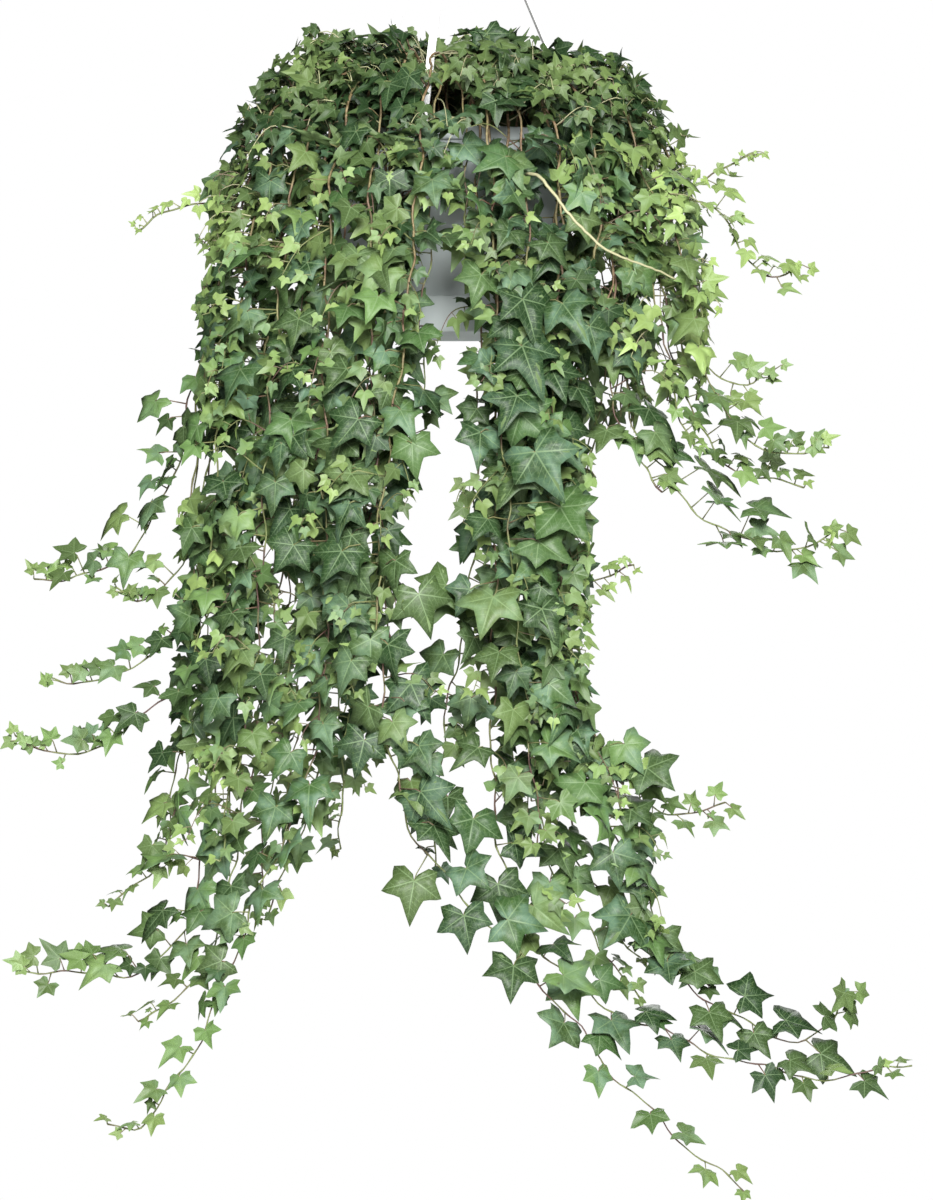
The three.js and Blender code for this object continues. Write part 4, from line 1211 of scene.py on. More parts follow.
@dataclass
class Hanger:
    """The hub, its hook, and the straps down to the rim."""

    width: float = 7.0
    thickness: float = 2.0
    toe: float = 2.5
    reach: float = 3.0
    bend: float = 1.6
    edge: float = 0.45
    hub_radius: float = 14.0
    hub_thickness: float = 4.0
    hub_drop: float = 38.0
    hub_roll: float = 0.8
    fillet: float = 2.5
    slot_radius: float = 8.0
    bar: float = 2.15
    seat_bar: float = 2.4
    crook: float = 11.2
    crook_turns: tuple[float, float] = (-50.0, 205.0)
    crook_steps: int = 12
    bar_step: float = 1.5
    bar_sides: int = 16
    bar_end: tuple[float, float, float] = (0.96, 0.8, 0.42)

    @property
    def hub_top(self) -> float:
        """Height of the hub's upper face above the rim."""
        return HANG_HEIGHT - self.hub_drop

    def prism(self, outline: Sequence[tuple[float, float]], angle: float) -> tuple[Array, Array]:
        """Makes a strip as wide as a strap.

        Args:
            outline: its outline as distance from the axis and height.
            angle: the angle at which it stands, in degrees.

        Returns:
            The points and the faces.
        """
        out = polar(1.0, angle, 0.0)
        side = np.array([-out[1], out[0], 0.0]) * self.width / 2
        middle = np.array([out * r + [0, 0, z] for r, z in outline])
        count = len(outline)
        faces = [(i, (i + 1) % count, (i + 1) % count + count, i + count) for i in range(count)]
        for i in range(count // 2 - 1):
            a, b, c, d = i, i + 1, count - 2 - i, count - 1 - i
            faces.append((d, c, b, a))
            faces.append((a + count, b + count, c + count, d + count))
        return np.vstack([middle - side, middle + side]), np.array(faces)

    def strap_line(self) -> list[tuple[float, float]]:
        """The middle line of a strap from its lower toe to its upper one.

        Returns:
            Its corners as distance from the axis and height.
        """
        outside = RIM_RADIUS + GAP + self.thickness / 2
        under = -LIP_DROP - GAP - self.toe / 2
        over = self.hub_top + GAP + self.toe / 2
        return [
            (RIM_RADIUS - self.reach, under),
            (outside, under),
            (outside, self.thickness),
            (self.slot_radius, self.hub_top - self.hub_thickness - self.thickness),
            (self.slot_radius, over),
            (self.hub_radius - 1, over),
        ]

    def strap(self, number: int, angle: float) -> bpy.types.Object:
        """Builds one strap with both its toes, as one bent strip.

        Args:
            number: the strap's number.
            angle: the angle at which it stands, in degrees.

        Returns:
            The piece.
        """
        line = np.array(rounded(self.strap_line(), self.bend))
        ends = np.vstack([line[:1], line, line[-1:]])
        left, right = [], []
        for before, point, after in zip(ends, line, ends[2:]):
            way = unit(after - before)
            across = np.array([-way[1], way[0]]) * self.thickness / 2
            left.append(tuple(point + across))
            right.insert(0, tuple(point - across))
        piece = solid(f"strap_band_{number}", *self.prism(left + right, angle))
        return bevelled(piece, self.edge)

    def hub(self) -> bpy.types.Object:
        """Builds the hub disc with its slots.

        Returns:
            The piece.
        """
        low, high = self.hub_top - self.hub_thickness, self.hub_top
        profile = [
            (0.0, low),
            (self.hub_radius, low),
            (self.hub_radius, high),
            (self.bar + self.fillet, high),
            (self.bar, high + self.fillet),
            (0.0, high + self.fillet),
        ]
        disc = solid("hook_hub", *turned(rounded(profile, self.hub_roll), 64))
        near, far = (self.slot_radius + hand * (self.thickness / 2 + GAP) for hand in (-1, 1))
        outline = [(near, low - 3), (far, low - 3), (far, high + 1), (near, high + 1)]
        for angle in STRAP_ANGLES:
            cutter = solid("slot_cutter", *self.prism(outline, angle))
            cut = disc.modifiers.new("slot", "BOOLEAN")
            cut.operation = "DIFFERENCE"
            cut.object = cutter
            apply_modifiers(disc)
            bpy.data.objects.remove(cutter)
        return disc

    def hook(self) -> bpy.types.Object:
        """Builds the round bar of the hook, with a rounded end.

        Returns:
            The piece.
        """
        height = HANG_HEIGHT + self.seat_bar - 0.3 - self.crook
        points = [(0, 0, self.hub_top - 2), (0, 0, self.hub_top + self.bar * 2)]
        for i in range(self.crook_steps + 1):
            turn = math.radians(lerp(*self.crook_turns, i / self.crook_steps))
            points.append((self.crook * math.cos(turn), 0, height + self.crook * math.sin(turn)))
        line = curve_through(points, self.bar_step)
        radii = np.full(len(line), self.bar)
        radii[-3:] = self.bar * np.array(self.bar_end)
        return solid("hook_bar", *tube(line, radii, self.bar_sides))


# Half outlines of a blade from its point to the notch, as (degrees from the midrib, distance from
# the stalk as a share of the leaf's size): a grown one, a young one with three lobes and a wide
# foot, and the small leaves of side shoots.
GROWN = (
    (0, 0.78), (8, 0.60), (19, 0.455), (32, 0.380), (46, 0.425), (57, 0.515), (65, 0.585),
    (76, 0.465), (92, 0.375), (108, 0.41), (121, 0.46), (139, 0.33), (160, 0.12),
)
TENDER = (
    (0, 0.84), (8, 0.63), (19, 0.43), (31, 0.345), (44, 0.35), (56, 0.42), (68, 0.49),
    (79, 0.43), (92, 0.345), (106, 0.30), (119, 0.28), (137, 0.21), (160, 0.10),
)
SMALL = (
    (0, 0.86), (11, 0.57), (30, 0.36), (50, 0.41), (68, 0.52), (88, 0.37), (112, 0.32), (135, 0.24),
    (161, 0.10),
)
LOBES = (0.0, math.radians(65), math.radians(121))
BLADE = 0.5  # thickness of a blade
BLADE_MIDDLE = 0.2  # from its foot to its middle, as a share of its size
BLADE_REACH = 0.38  # half of a leaf's extent, as a share of its size
MOST_SINKING = 16.0  # how far a leaf is lowered at most to stay under the mound's top
BARE_BELOW_TOP = 8.0  # side shoots stay this far under the mound's top
THICK_FROM = 33.0  # the size from which a leaf gets an underside of its own
FULL_LEAF = 50.0  # the size of a leaf whose fine veins all show


def mirrored(half: Sequence[tuple[float, float]]) -> tuple[Array, Array]:
    """The whole outline of a half one.

    Args:
        half: the half outline.

    Returns:
        The turns in radians and the reaches, from notch to notch.
    """
    right = np.array(half, float)
    whole = np.vstack([right[:0:-1] * [-1, 1], right])
    return np.radians(whole[:, 0]), whole[:, 1]


@dataclass
class Blade:
    """The plan of a blade as a fan of rays, and its faces.

    Old and tender are the half outlines of a grown leaf and of a young one, which has the same
    turns or nearly. Levels are the rings of points, as shares of the way to the edge. A thick
    blade has an underside and an edge. The other fields are shares of the leaf's size: how much
    its lobes differ, how deep it is along its veins, and how far it droops, folds, bends, ripples
    and twists.
    """

    old: Sequence[tuple[float, float]] = GROWN
    tender: Sequence[tuple[float, float]] = TENDER
    levels: Sequence[float] = (0.52, 1.0)
    thick: bool = False
    grown_below: float = 0.35
    tender_over: float = 0.4
    lobe_width: float = 0.32
    unevenness: float = 0.06
    valley: float = 0.04
    valley_width: float = 0.17
    droop: tuple[float, float] = (0.05, 0.42)
    fold: tuple[float, float] = (-0.08, 0.34)
    bend: float = 0.16
    ripple: float = 0.075
    twist: float = 0.26

    def __post_init__(self) -> None:
        """Works out rays, rings and faces once for all leaves."""
        self.turns, self.old_reach = mirrored(self.old)
        self.tender_reach = mirrored(self.tender)[1]
        rays, rings = len(self.turns), len(self.levels)
        self.size = 1 + rays * rings
        at = 1 + np.arange(rays * rings).reshape(rings, rays)
        top = [(0, at[0, k], at[0, k + 1], -1) for k in range(rays - 1)]
        for inner, outer in zip(at, at[1:]):
            top += [(inner[k], outer[k], outer[k + 1], inner[k + 1]) for k in range(rays - 1)]
        top = np.array(top)
        under = np.where(top >= 0, top + self.size, -1)
        fans = top[:, 3] < 0
        under[fans] = under[fans][:, [0, 2, 1, 3]]
        under[~fans] = under[~fans][:, ::-1]
        edge = [0, *at[:, 0], *at[-1, 1:], *at[-2::-1, -1], 0]
        rim = [(b, a, a + self.size, b + self.size) for a, b in zip(edge, edge[1:])]
        self.faces = np.vstack([top, under, rim]) if self.thick else top
        self.hard = np.arange(len(self.faces)) >= 2 * len(top)

    def points(self, size: float, youth: float, rng: np.random.Generator) -> tuple[Array, Array]:
        """One leaf's points in its own terms: across, along the midrib, and up.

        Args:
            size: width of the leaf over its side lobes.
            youth: 0 for a grown leaf to 1 for the youngest.
            rng: source of the leaf's own small differences.

        Returns:
            The points of the top, and the same points on the plan.
        """
        form = np.clip((youth - self.grown_below) / self.tender_over, 0, 1)
        reach = self.old_reach * (1 - form) + self.tender_reach * form
        for lobe in LOBES:
            for hand in (1, -1):
                near = np.exp(-(((self.turns * hand - lobe) / self.lobe_width) ** 2))
                reach = reach * (1 + rng.normal(0, self.unevenness) * near)
        turns = self.turns + rng.normal(0, self.unevenness) * (1 - np.abs(self.turns) / math.pi)
        radius = np.array(self.levels)[:, None] * reach[None, :]
        x = np.concatenate([[0], (radius * np.sin(turns)).ravel()])
        y = np.concatenate([[0], (radius * np.cos(turns)).ravel()])
        r = np.hypot(x, y)
        turn = np.arctan2(x, y)
        nearest = np.min([np.abs(np.abs(turn) - lobe) for lobe in LOBES], axis=0)
        z = -self.valley * np.exp(-((nearest / self.valley_width) ** 2)) * np.clip(r * 4, 0, 1)
        z = z - rng.uniform(*self.droop) * r**2
        z += rng.uniform(*self.fold) * np.abs(x) * (1 - 0.5 * r)
        z += rng.normal(0, self.bend) * r**2 * np.sign(y)
        ripple = np.sin(turn * rng.choice([3, 4, 5]) + rng.uniform(0, 6.3))
        z += rng.uniform(0.0, self.ripple) * ripple * np.clip(r * 2, 0, 1) ** 2
        z += rng.normal(0, self.twist) * x * y
        plan = np.column_stack([x, y]) * PLAN_SCALE + PLAN_MIDDLE
        return np.column_stack([x, y, z]) * size, plan


EYE_DISTANCE = 5000.0  # from the axis to an eye in front, along -Y
EYE_X, EYE_Z = 9.5, -417.0
PARTED_DEPTH = -110.0  # y at which a parted place has the size given for it


@dataclass(frozen=True)
class Oval:
    """A place seen from the front where the foliage stays parted.

    Only leaves with y below front are left out, and spare is how much of a leaf's size is kept
    off the place's edge.
    """

    x: float
    z: float
    half_width: float
    half_height: float
    front: float = 400.0
    spare: float = 0.34

    def hides(self, centre: Array, size: float) -> bool:
        """Whether a leaf would cover the place.

        Args:
            centre: the leaf's middle.
            size: the leaf's size.

        Returns:
            True for a leaf that covers it.
        """
        reach = self.spare * size
        nearness = (EYE_DISTANCE + PARTED_DEPTH) / (EYE_DISTANCE + centre[1])
        across = (EYE_X + (centre[0] - EYE_X) * nearness - self.x) / (self.half_width + reach)
        down = (EYE_Z + (centre[2] - EYE_Z) * nearness - self.z) / (self.half_height + reach)
        return bool(centre[1] < self.front and across**2 + down**2 < 1)


# Small chinks in the foliage.
CHINKS = (
    (-223, -310, 8, 18), (-169, -375, 10, 10), (-219, -439, 6, 8), (-149, -406, 6, 8),
    (-168, -444, 7, 7), (-199, -292, 5, 5), (176, -150, 10, 9), (187, -193, 8, 9), (130, -134, 5, 9),
    (139, -227, 12, 8), (172, -224, 7, 9),
)
# The strap, the pot and the bare branch show in the first ten, and the white behind the plant in
# the others.
PARTED = (
    Oval(-21, 78, 12, 26, -62, 0.48),
    Oval(38, -4, 25, 5, -60, 0.42),
    Oval(-8, 24, 18, 12, -30, 0.25),
    Oval(-5, -14, 10, 8, -60, 0.20),
    Oval(21, -42, 7, 13, -60, 0.20),
    Oval(-13, -141, 14, 34, -60, 0.25),
    Oval(87, -72, 12, 13, -150, 0.2),
    Oval(116, -104, 15, 11, -150, 0.2),
    Oval(150, -124, 17, 8, -150, 0.2),
    Oval(181, -136, 12, 7, -140, 0.2),
    Oval(-5, -194, 11, 5),
    Oval(2, -228, 4, 18),
    Oval(-13, -302, 10, 28),
    Oval(-22, -345, 16, 26),
    Oval(-79, -642, 23, 22),
    Oval(-94, -602, 7, 16),
    Oval(170, -318, 12, 24, spare=0.3),
    *(Oval(*chink, spare=0.24) for chink in CHINKS),
)
# Places with many young leaves, and places of painted shade where leaves are drawn darker and
# less young, some of them truly old dark leaves, on the front half of the plant: x, z and radius.
FLUSH = (
    (-178, -84, 34), (-217, -70, 34), (193, -84, 40), (211, -147, 45), (166, -30, 26),
    (-78, -105, 24), (202, -186, 36), (-23, -390, 25), (20, -428, 20), (-144, -466, 23),
    (-194, -538, 22), (-145, 56, 20), (-1, 40, 24), (94, 22, 22), (-113, 42, 22), (-203, -381, 23),
)
PAINTED_SHADE = (
    (-75, -400, 70), (-62, -520, 70), (-90, -300, 45), (28, -330, 38), (262, -780, 90),
    (-40, 75, 80), (75, 62, 80), (-165, -30, 50), (-20, -590, 50), (130, -170, 50), (20, -470, 80),
    (-113, -115, 34), (-130, 55, 60), (150, 40, 50), (10, -250, 50), (-50, -60, 50),
    (60, -110, 45), (58, -200, 36), (-18, -655, 50),
)
# Outline of the curtain as height, least x and greatest x.
CURTAIN = (
    (110, -104, 166), (70, -168, 182), (33, -198, 208), (-12, -222, 218), (-57, -232, 224),
    (-140, -236, 238), (-235, -238, 226), (-258, -242, 122), (-480, -256, 124), (-530, -268, 130),
    (-548, -280, 400), (-600, -400, 400), (-632, -400, 400), (-642, -400, 178), (-700, -400, 194),
    (-735, -400, 222), (-752, -400, 400),
)
FRINGE = 8.0  # depth of the curtain's edge
# Top of the mound as x and height.
MOUND = (
    (-240, -50), (-232, -40), (-220, -14), (-193, 17), (-178, 36), (-170, 78), (-150, 86), (-126, 95),
    (-40, 97), (22, 92), (62, 86), (76, 79), (148, 76), (157, 60), (181, 37), (194, 21), (214, 14),
    (240, -14), (320, -20),
)


def mound_at(x: float) -> float:
    """Height of the mound's top at a distance to the right of the axis."""
    return float(np.interp(x, *zip(*MOUND)))


def curtain_at(z: float) -> tuple[float, float]:
    """The least and greatest x of the curtain at a height."""
    heights, left, right = np.array(CURTAIN).T
    return float(np.interp(-z, -heights, left)), float(np.interp(-z, -heights, right))


def outside(point: Array) -> bool:
    """Whether a point of a stem lies at the edge of the curtain or beyond it."""
    left, right = curtain_at(point[2])
    return not left + FRINGE < point[0] < right - FRINGE


def beyond(centre: Array, size: float, free: bool) -> bool:
    """Whether a leaf would stand outside the plant's outline, or cover a parted place.

    Args:
        centre: the middle of the leaf.
        size: the leaf's size.
        free: whether the leaf is on a part of a runner that leaves the curtain.

    Returns:
        True for a leaf that isn't grown.
    """
    if any(oval.hides(centre, size) for oval in PARTED):
        return True
    reach = BLADE_REACH * size
    if centre[2] + reach > mound_at(centre[0]):
        return True
    left, right = curtain_at(centre[2])
    return not free and bool(centre[0] - reach < left or centre[0] + reach > right)


def within(patches: Sequence[Point], point: Array) -> float:
    """How far a point lies in one of some patches seen from the front.

    Args:
        patches: x, z and radius of each patch.
        point: the point.

    Returns:
        0 outside them to 1 in the middle of one.
    """
    if point[1] > FRONT_DEPTH:
        return 0.0
    return max(math.exp(-(((point[0] - x) ** 2 + (point[2] - z) ** 2) / r**2)) for x, z, r in patches)


def turn_about(v: Array, axis: Array, angle: float) -> Array:
    """v turned about an axis by an angle in radians."""
    c, s = math.cos(angle), math.sin(angle)
    return v * c + np.cross(axis, v) * s + axis * np.dot(axis, v) * (1 - c)


def outward_at(point: Array) -> Array:
    """The level way in which leaves at a point face, turned forwards in front of the pot."""
    lean = FRONT_LEAN * np.clip(1 - point[1] / FRONT_DEPTH, 0, 1)
    return unit(np.array([point[0], point[1] - lean, 0.0]))


@dataclass
class Leaf:
    """One leaf: where its stalk starts, where its blade starts, and how the blade is held."""

    root: Array
    base: Array
    stalk: Array
    midrib: Array
    facing: Array
    size: float
    youth: float
    leaving: float = 0.4
    arriving: float = 0.3
    foot: float = 1.35

    @property
    def centre(self) -> Array:
        """The middle of the blade."""
        return self.base + self.midrib * self.size * BLADE_MIDDLE

    def shaken(self, rng: np.random.Generator, spread: float) -> "Leaf":
        """Turns the blade at random.

        Args:
            rng: source of the turn.
            spread: its usual size in degrees.

        Returns:
            The leaf itself.
        """
        axis = unit(rng.normal(0, 1, 3))
        angle = math.radians(abs(rng.normal(0, spread)))
        self.midrib = turn_about(self.midrib, axis, angle)
        self.facing = turn_about(self.facing, axis, angle)
        return self

    def sink(self, most: float) -> None:
        """Lowers the blade under the mound's top where it stands out of it.

        Args:
            most: the greatest excess that is lowered.
        """
        x, _, z = self.centre
        excess = z + BLADE_REACH * self.size - mound_at(x)
        if 0 < excess < most:
            self.base = self.base - UP * excess

    def add_stalk(self, shell: Shell, radius: float, steps: int, sides: int = 3) -> None:
        """Adds the stalk, which curves from the stem to the blade.

        Args:
            shell: the mesh to add to.
            radius: the stalk's radius.
            steps: lengths that it is divided into.
            sides: points round it.
        """
        reach = np.linalg.norm(self.base - self.root)
        into = self.base - (self.midrib * 0.5 - self.facing * 0.5) * reach * self.arriving
        away = self.root + self.stalk * reach * self.leaving
        t = np.linspace(0, 1, steps + 1)[:, None]
        line = (1 - t) ** 3 * self.root + 3 * t * (1 - t) ** 2 * away
        line = line + 3 * t**2 * (1 - t) * into + t**3 * self.base
        radii = np.full(len(line), radius)
        radii[0] *= self.foot
        points, faces = tube(line, radii, sides)
        tone = np.tile([min(0.7 + self.youth, 1), 0.5 * self.youth, 0, 0], (len(points), 1))
        shell.add(np.clip(points, LOWEST, HIGHEST), faces, tone=tone)

    def add_blade(self, shell: Shell, plan: Blade, rng: np.random.Generator) -> None:
        """Adds the blade, moved inwards where it would leave the solids' box.

        Args:
            shell: the mesh to add to.
            plan: the kind of blade.
            rng: source of the leaf's own small differences.
        """
        top, place = plan.points(self.size, self.youth, rng)
        turn = np.array([np.cross(self.midrib, self.facing), self.midrib, self.facing])
        both = (np.vstack([top, top - [0, 0, BLADE]]) if plan.thick else top) @ turn + self.base
        both += np.maximum(LOWEST - both.min(axis=0), 0) - np.maximum(both.max(axis=0) - HIGHEST, 0)
        varied_and_shaded, phase = rng.uniform(0, 1, 2)
        # Painted shade: leaves are drawn darker towards the mound's top and in the painted-shade patches.
        varied_and_shaded *= np.clip(0.35 - self.base[2] / 60, 0.1, 1) * (1 - 0.75 * within(PAINTED_SHADE, self.base))
        tone = np.tile([self.youth, varied_and_shaded, min(self.size / FULL_LEAF, 1.0), phase], (len(both), 1))
        tone[len(top) :, 2] = 0.0
        flat = np.vstack([place, place])[: len(both)]
        shell.add(both, plan.faces, tone=tone, plan=flat, flat=plan.hard)


@dataclass
class Runner:
    """One leafy runner with its side shoots, grown along its course.

    Root is None for a branch, which starts on its runner. Turns are in degrees. What is named
    young, rare or youth says how young leaves are, where 0 is old and 1 the youngest.
    """

    name: str
    number: int
    leaf: float
    line: Array
    root: Array | None
    habit: Habit
    tip_radius: float = 0.6
    stem_sides: int = 5
    bends: tuple = ((34.0, 0.8), (90.0, 2.4))
    node_swelling: float = 0.3
    node_length: float = 3.5
    fork_bare: float = 10.0
    fork_radius: float = 0.9
    fork_size: float = 0.94
    fork_ease: float = 90.0
    leaf_stalk: float = 0.58
    spur_stalk: float = 0.4
    swing: float = 14.0
    crown_ease: float = 40.0
    away_from: float = 215.0
    away_ease: float = 30.0
    lifted_share: float = 0.85
    tip_youth: float = 0.40
    tip_youth_length: float = 90.0
    crown_youth_ease: float = 30.0
    rare_from: float = 0.88
    rare_over: float = 0.12
    rare_youth: float = 0.3
    young_runner: float = 0.3
    average_chance: float = 0.45
    between_share: float = 0.6
    back_share: float = 0.3
    crown_size: float = 0.94
    spur_from: float = 14.0
    spur_down_to: float = -720.0
    spur_last: float = 0.86
    spur_bend: float = 7.0
    spur_sparser_low: float = 2.6
    spur_closer_high: float = 0.62
    spur_sparser_out: float = 2.2
    spur_out: float = 262.0
    spur_turn: float = 30.0
    spur_gaps: tuple[float, float] = (0.45, 0.75)
    spur_length: tuple[float, float] = (26.0, 82.0)
    spur_leaf: tuple[float, float] = (11.0, 25.0)

    @classmethod
    def from_course(cls, course: Course, number: int) -> "Runner":
        """Makes the runner of a hanging course.

        Args:
            course: the course.
            number: the runner's own number, for its random draws.

        Returns:
            The runner.
        """
        root, lift, hang = course.ring.value
        collar = polar(root, course.rim, soil_height(root) + COLLAR)
        points = [collar]
        for out, rise in ARCH:
            points.append(polar(root + out * (hang - root), course.rim, rise * lift))
        points.append(polar(hang, course.rim, FALL_HEIGHT))
        points += [np.array(p, float) for p in course.points]
        line = curve_through(points, STEM_STEP)
        return cls(course.name, number, course.leaf, line, collar, course)

    @classmethod
    def from_shoot(cls, shoot: Shoot, number: int) -> "Runner":
        """Makes the runner of an upright shoot.

        Args:
            shoot: the shoot.
            number: the runner's own number, for its random draws.

        Returns:
            The runner.
        """
        collar = polar(shoot.root, shoot.angle, soil_height(shoot.root) + COLLAR)
        points = [
            collar,
            polar(shoot.root + shoot.lean * 0.3, shoot.angle, shoot.height * 0.5),
            polar(shoot.root + shoot.lean, shoot.angle, shoot.height),
        ]
        line = curve_through(points, STEM_STEP)
        return cls(shoot.name, number, shoot.leaf, line, collar, CROWN_HABIT)

    def forked(self, fork: Fork, number: int) -> "Runner":
        """The branch that a fork describes, as a runner of its own.

        Args:
            fork: how the branch goes.
            number: the branch's own number, for its random draws.

        Returns:
            The branch, which starts on this runner's line.
        """
        first, last = (int(share * (len(self.line) - 1)) for share in (fork.start, fork.end))
        line = self.line[first : last + 1]
        share = np.clip((self.along[first : last + 1] - self.along[first]) / self.fork_ease, 0, 1)
        turn = math.radians(fork.turn) * share * share * (3 - 2 * share)
        c, s = np.cos(turn), np.sin(turn)
        x, y, z = line.T
        line = np.column_stack([x * c - y * s, x * s + y * c, z])
        habit = replace(
            self.habit, bare_length=self.fork_bare, base_radius=self.fork_radius, forks=(), branch=()
        )
        return Runner(self.name, number, self.leaf * self.fork_size, line, None, habit)

    def __post_init__(self) -> None:
        """Measures the line, gives it small bends from leaf to leaf, and thins out the back."""
        self.rng = np.random.default_rng(100 + self.number)
        steps = np.linalg.norm(np.diff(self.line, axis=0), axis=1)
        self.along = np.concatenate([[0], np.cumsum(steps)])
        self.length = self.along[-1]
        self.free = any(word in self.name for word in ("sweep", "twig", "sprig"))
        if "back" in self.name:
            self.spur_down_to = THIN_FROM
        if "back" in self.name or self.habit.pitch > SPARSE_PITCH:
            self.between_share = self.back_share
        ease = np.clip(self.along / 60, 0, 1)[:, None]
        for wavelength, size in self.bends:
            phase = self.rng.uniform(0, 6.3, 3)
            wave = np.sin(self.along[:, None] * 2 * math.pi / wavelength + phase)
            self.line = self.line + wave * size * ease

    def point_at(self, distance: float) -> Array:
        """The point at a distance from the collar."""
        return np.array([np.interp(distance, self.along, self.line[:, k]) for k in range(3)])

    def heading_at(self, distance: float) -> Array:
        """The way in which the stem goes at a distance from the collar."""
        return unit(self.point_at(distance + 6) - self.point_at(distance - 6))

    def lowness(self, distance: float) -> float:
        """How far down a place of the runner is, from 0 above the pot to 1 well below it."""
        height = np.interp(distance, self.along, self.line[:, 2])
        return float(np.clip((UPPER_FROM - height) / UPPER_DEPTH, 0, 1))

    def places(self) -> list[tuple[int, float, float]]:
        """Works out the leaf places, from the tip back.

        Returns:
            Number, leaf size and distance from the collar of each.
        """
        habit = self.habit
        out = []
        from_tip = 0.0
        place = 0
        while self.length - from_tip > habit.bare_length:
            grown = min(from_tip / habit.tender, 1)
            low = self.lowness(self.length - from_tip)
            size = self.leaf * lerp(habit.youngest, 1, grown) * lerp(UPPER_SIZE, 1, low)
            size *= lerp(habit.tip, 1, min(from_tip / TIP_LENGTH, 1))
            size *= 1 + Draws(self.number, place).spread(Draw.SIZE) * lerp(*SIZE_SPREAD, low)
            out.append((place, size, self.length - from_tip))
            from_tip += size * lerp(habit.spacing, habit.pitch, grown)
            place += 1
        return out

    def youth(self, point: Array, from_tip: float, odd: float) -> float:
        """How young a leaf is.

        Args:
            point: where it grows.
            from_tip: distance back from the runner's tip.
            odd: a random number from 0 to 1 of its own.

        Returns:
            0 for old to 1 for the youngest.
        """
        base = self.tip_youth * math.exp(-from_tip / self.tip_youth_length)
        # Painted shade: leaves in the painted-shade patches are drawn less young, so darker.
        base *= 1 - 0.8 * within(PAINTED_SHADE, point)
        # Painted shade: leaves above the rim are drawn less young, so darker, and odd young ones are rarer
        # there.
        base *= 1 - 0.75 * float(np.clip((point[2] - CROWN_FROM) / self.crown_youth_ease, 0, 1))
        base += 0.5 * within(FLUSH, point) * (0.5 + odd)
        if point[2] > CROWN_FROM:
            odd *= 0.4
        base += self.rare_youth * max(odd - self.rare_from, 0.0) / self.rare_over
        if self.leaf < YOUNG_BELOW:
            base += self.young_runner
        return float(np.clip(base + 0.2 * (odd - self.average_chance), 0, 1))

    def pose(self, place: int, size: float, distance: float, later: int = 0) -> Leaf:
        """How a leaf is held: its stalk goes to one side and outwards, its blade faces outwards.

        Args:
            place: the leaf's number from the tip.
            size: the leaf's size.
            distance: how far along the runner it grows.
            later: added to the numbers of the draws, for a second leaf by the same place.

        Returns:
            The leaf.
        """
        draws = Draws(self.number, place, later)
        chance, spread = draws.chance, draws.spread
        point, heading = self.point_at(distance), self.heading_at(distance)
        outward = outward_at(point)
        outward = unit(outward - heading * np.dot(outward, heading))
        sideways = unit(np.cross(heading, outward)) * (1 if (place + later) % 2 == 0 else -1)
        steep = abs(heading[2])
        swing = math.radians(spread(Draw.SWING) * self.swing)
        stalk = sideways * 0.75 + outward * (0.5 + 0.35 * chance(Draw.OUT))
        over = float(np.clip((point[2] - CROWN_FROM) / self.crown_ease, 0, 1))
        stalk = unit(stalk + heading * (0.15 + 0.3 * chance(Draw.AHEAD)) + UP * (0.2 + 0.8 * over))
        tilt, droop = spread(Draw.TILT), spread(Draw.DROOP)
        facing = outward * (0.4 + 0.6 * steep) + UP * (0.8 - 0.35 * steep) + sideways * 0.3 * tilt
        pointing = sideways * (0.45 + 0.25 * spread(Draw.WIDE)) + heading * 0.45
        pointing = pointing + UP * (-0.6 + 0.3 * droop)
        facing = facing + UP * 0.9 * over
        away = np.clip((math.hypot(point[0], point[1]) - self.away_from) / self.away_ease, 0, 1)
        rise = (1 - steep) * away * self.habit.upright
        lifted = UP * (0.9 if chance(Draw.LIFT) < self.lifted_share else -0.5)
        lifted = lifted + outward * 0.35 + heading * (0.3 + 0.4 * spread(Draw.OUT)) + sideways * 0.3
        stalk = lerp(stalk, lifted, rise)
        facing = lerp(facing, outward * 0.35 + FRONT * 0.75 + UP * 0.3 + sideways * 0.4 * tilt, rise)
        pointing = lerp(pointing, heading * 0.6 + sideways * 0.35 + UP * (0.15 + 0.5 * droop), rise)
        stalk = unit(turn_about(stalk, heading, swing))
        facing = unit(turn_about(facing, heading, swing))
        midrib = unit(pointing - facing * np.dot(pointing, facing))
        low = float(np.clip((THICK_DOWN_TO - point[2]) / 100, 0, 1))
        near = 1 - 0.4 * low * (1 - self.habit.upright)
        base = point + stalk * (size * near * (0.35 + 0.4 * chance(Draw.STALK)) + 2.0)
        youth = self.youth(point, self.length - distance, chance(Draw.AGE))
        return Leaf(point, base, stalk, midrib, facing, size, youth)

    def large_leaves(self) -> list[Leaf]:
        """Poses the leaves at the runner's places, and smaller ones between them.

        Returns:
            The leaves that stand clear.
        """
        leaves = []
        for place, size, distance in self.places():
            high = self.point_at(distance)[2]
            if high > CROWN_FROM:
                size *= self.crown_size
            self.hold(leaves, place, size, distance, FIRST_DRAWS)
            between = distance - size * 0.3
            share = self.between_share * (1 if high > THICK_DOWN_TO else 1.05 - self.habit.spacing)
            chance = Draws(self.number, place).chance
            if between >= self.habit.bare_length and chance(Draw.BETWEEN) < share:
                smaller = size * lerp(0.5, 0.85, chance(Draw.BETWEEN_SIZE))
                self.hold(leaves, place, smaller, between, SECOND_DRAWS)
        return leaves

    def hold(
        self, leaves: list[Leaf], place: int, size: float, distance: float, draws: Sequence[int]
    ) -> None:
        """Adds a leaf on the first side of the runner where it stands clear.

        Args:
            leaves: the list to add to.
            place: the leaf's number from the tip.
            size: the leaf's size.
            distance: how far along the runner it grows.
            draws: added to the numbers of the draws, for each try.
        """
        for later in draws:
            leaf = self.pose(place, size, distance, later)
            leaf.shaken(self.rng, lerp(*SHAKE, self.lowness(distance)))
            leaf.sink(MOST_SINKING)
            if not beyond(leaf.centre, leaf.size, self.free and outside(leaf.root)):
                leaves.append(leaf)
                return

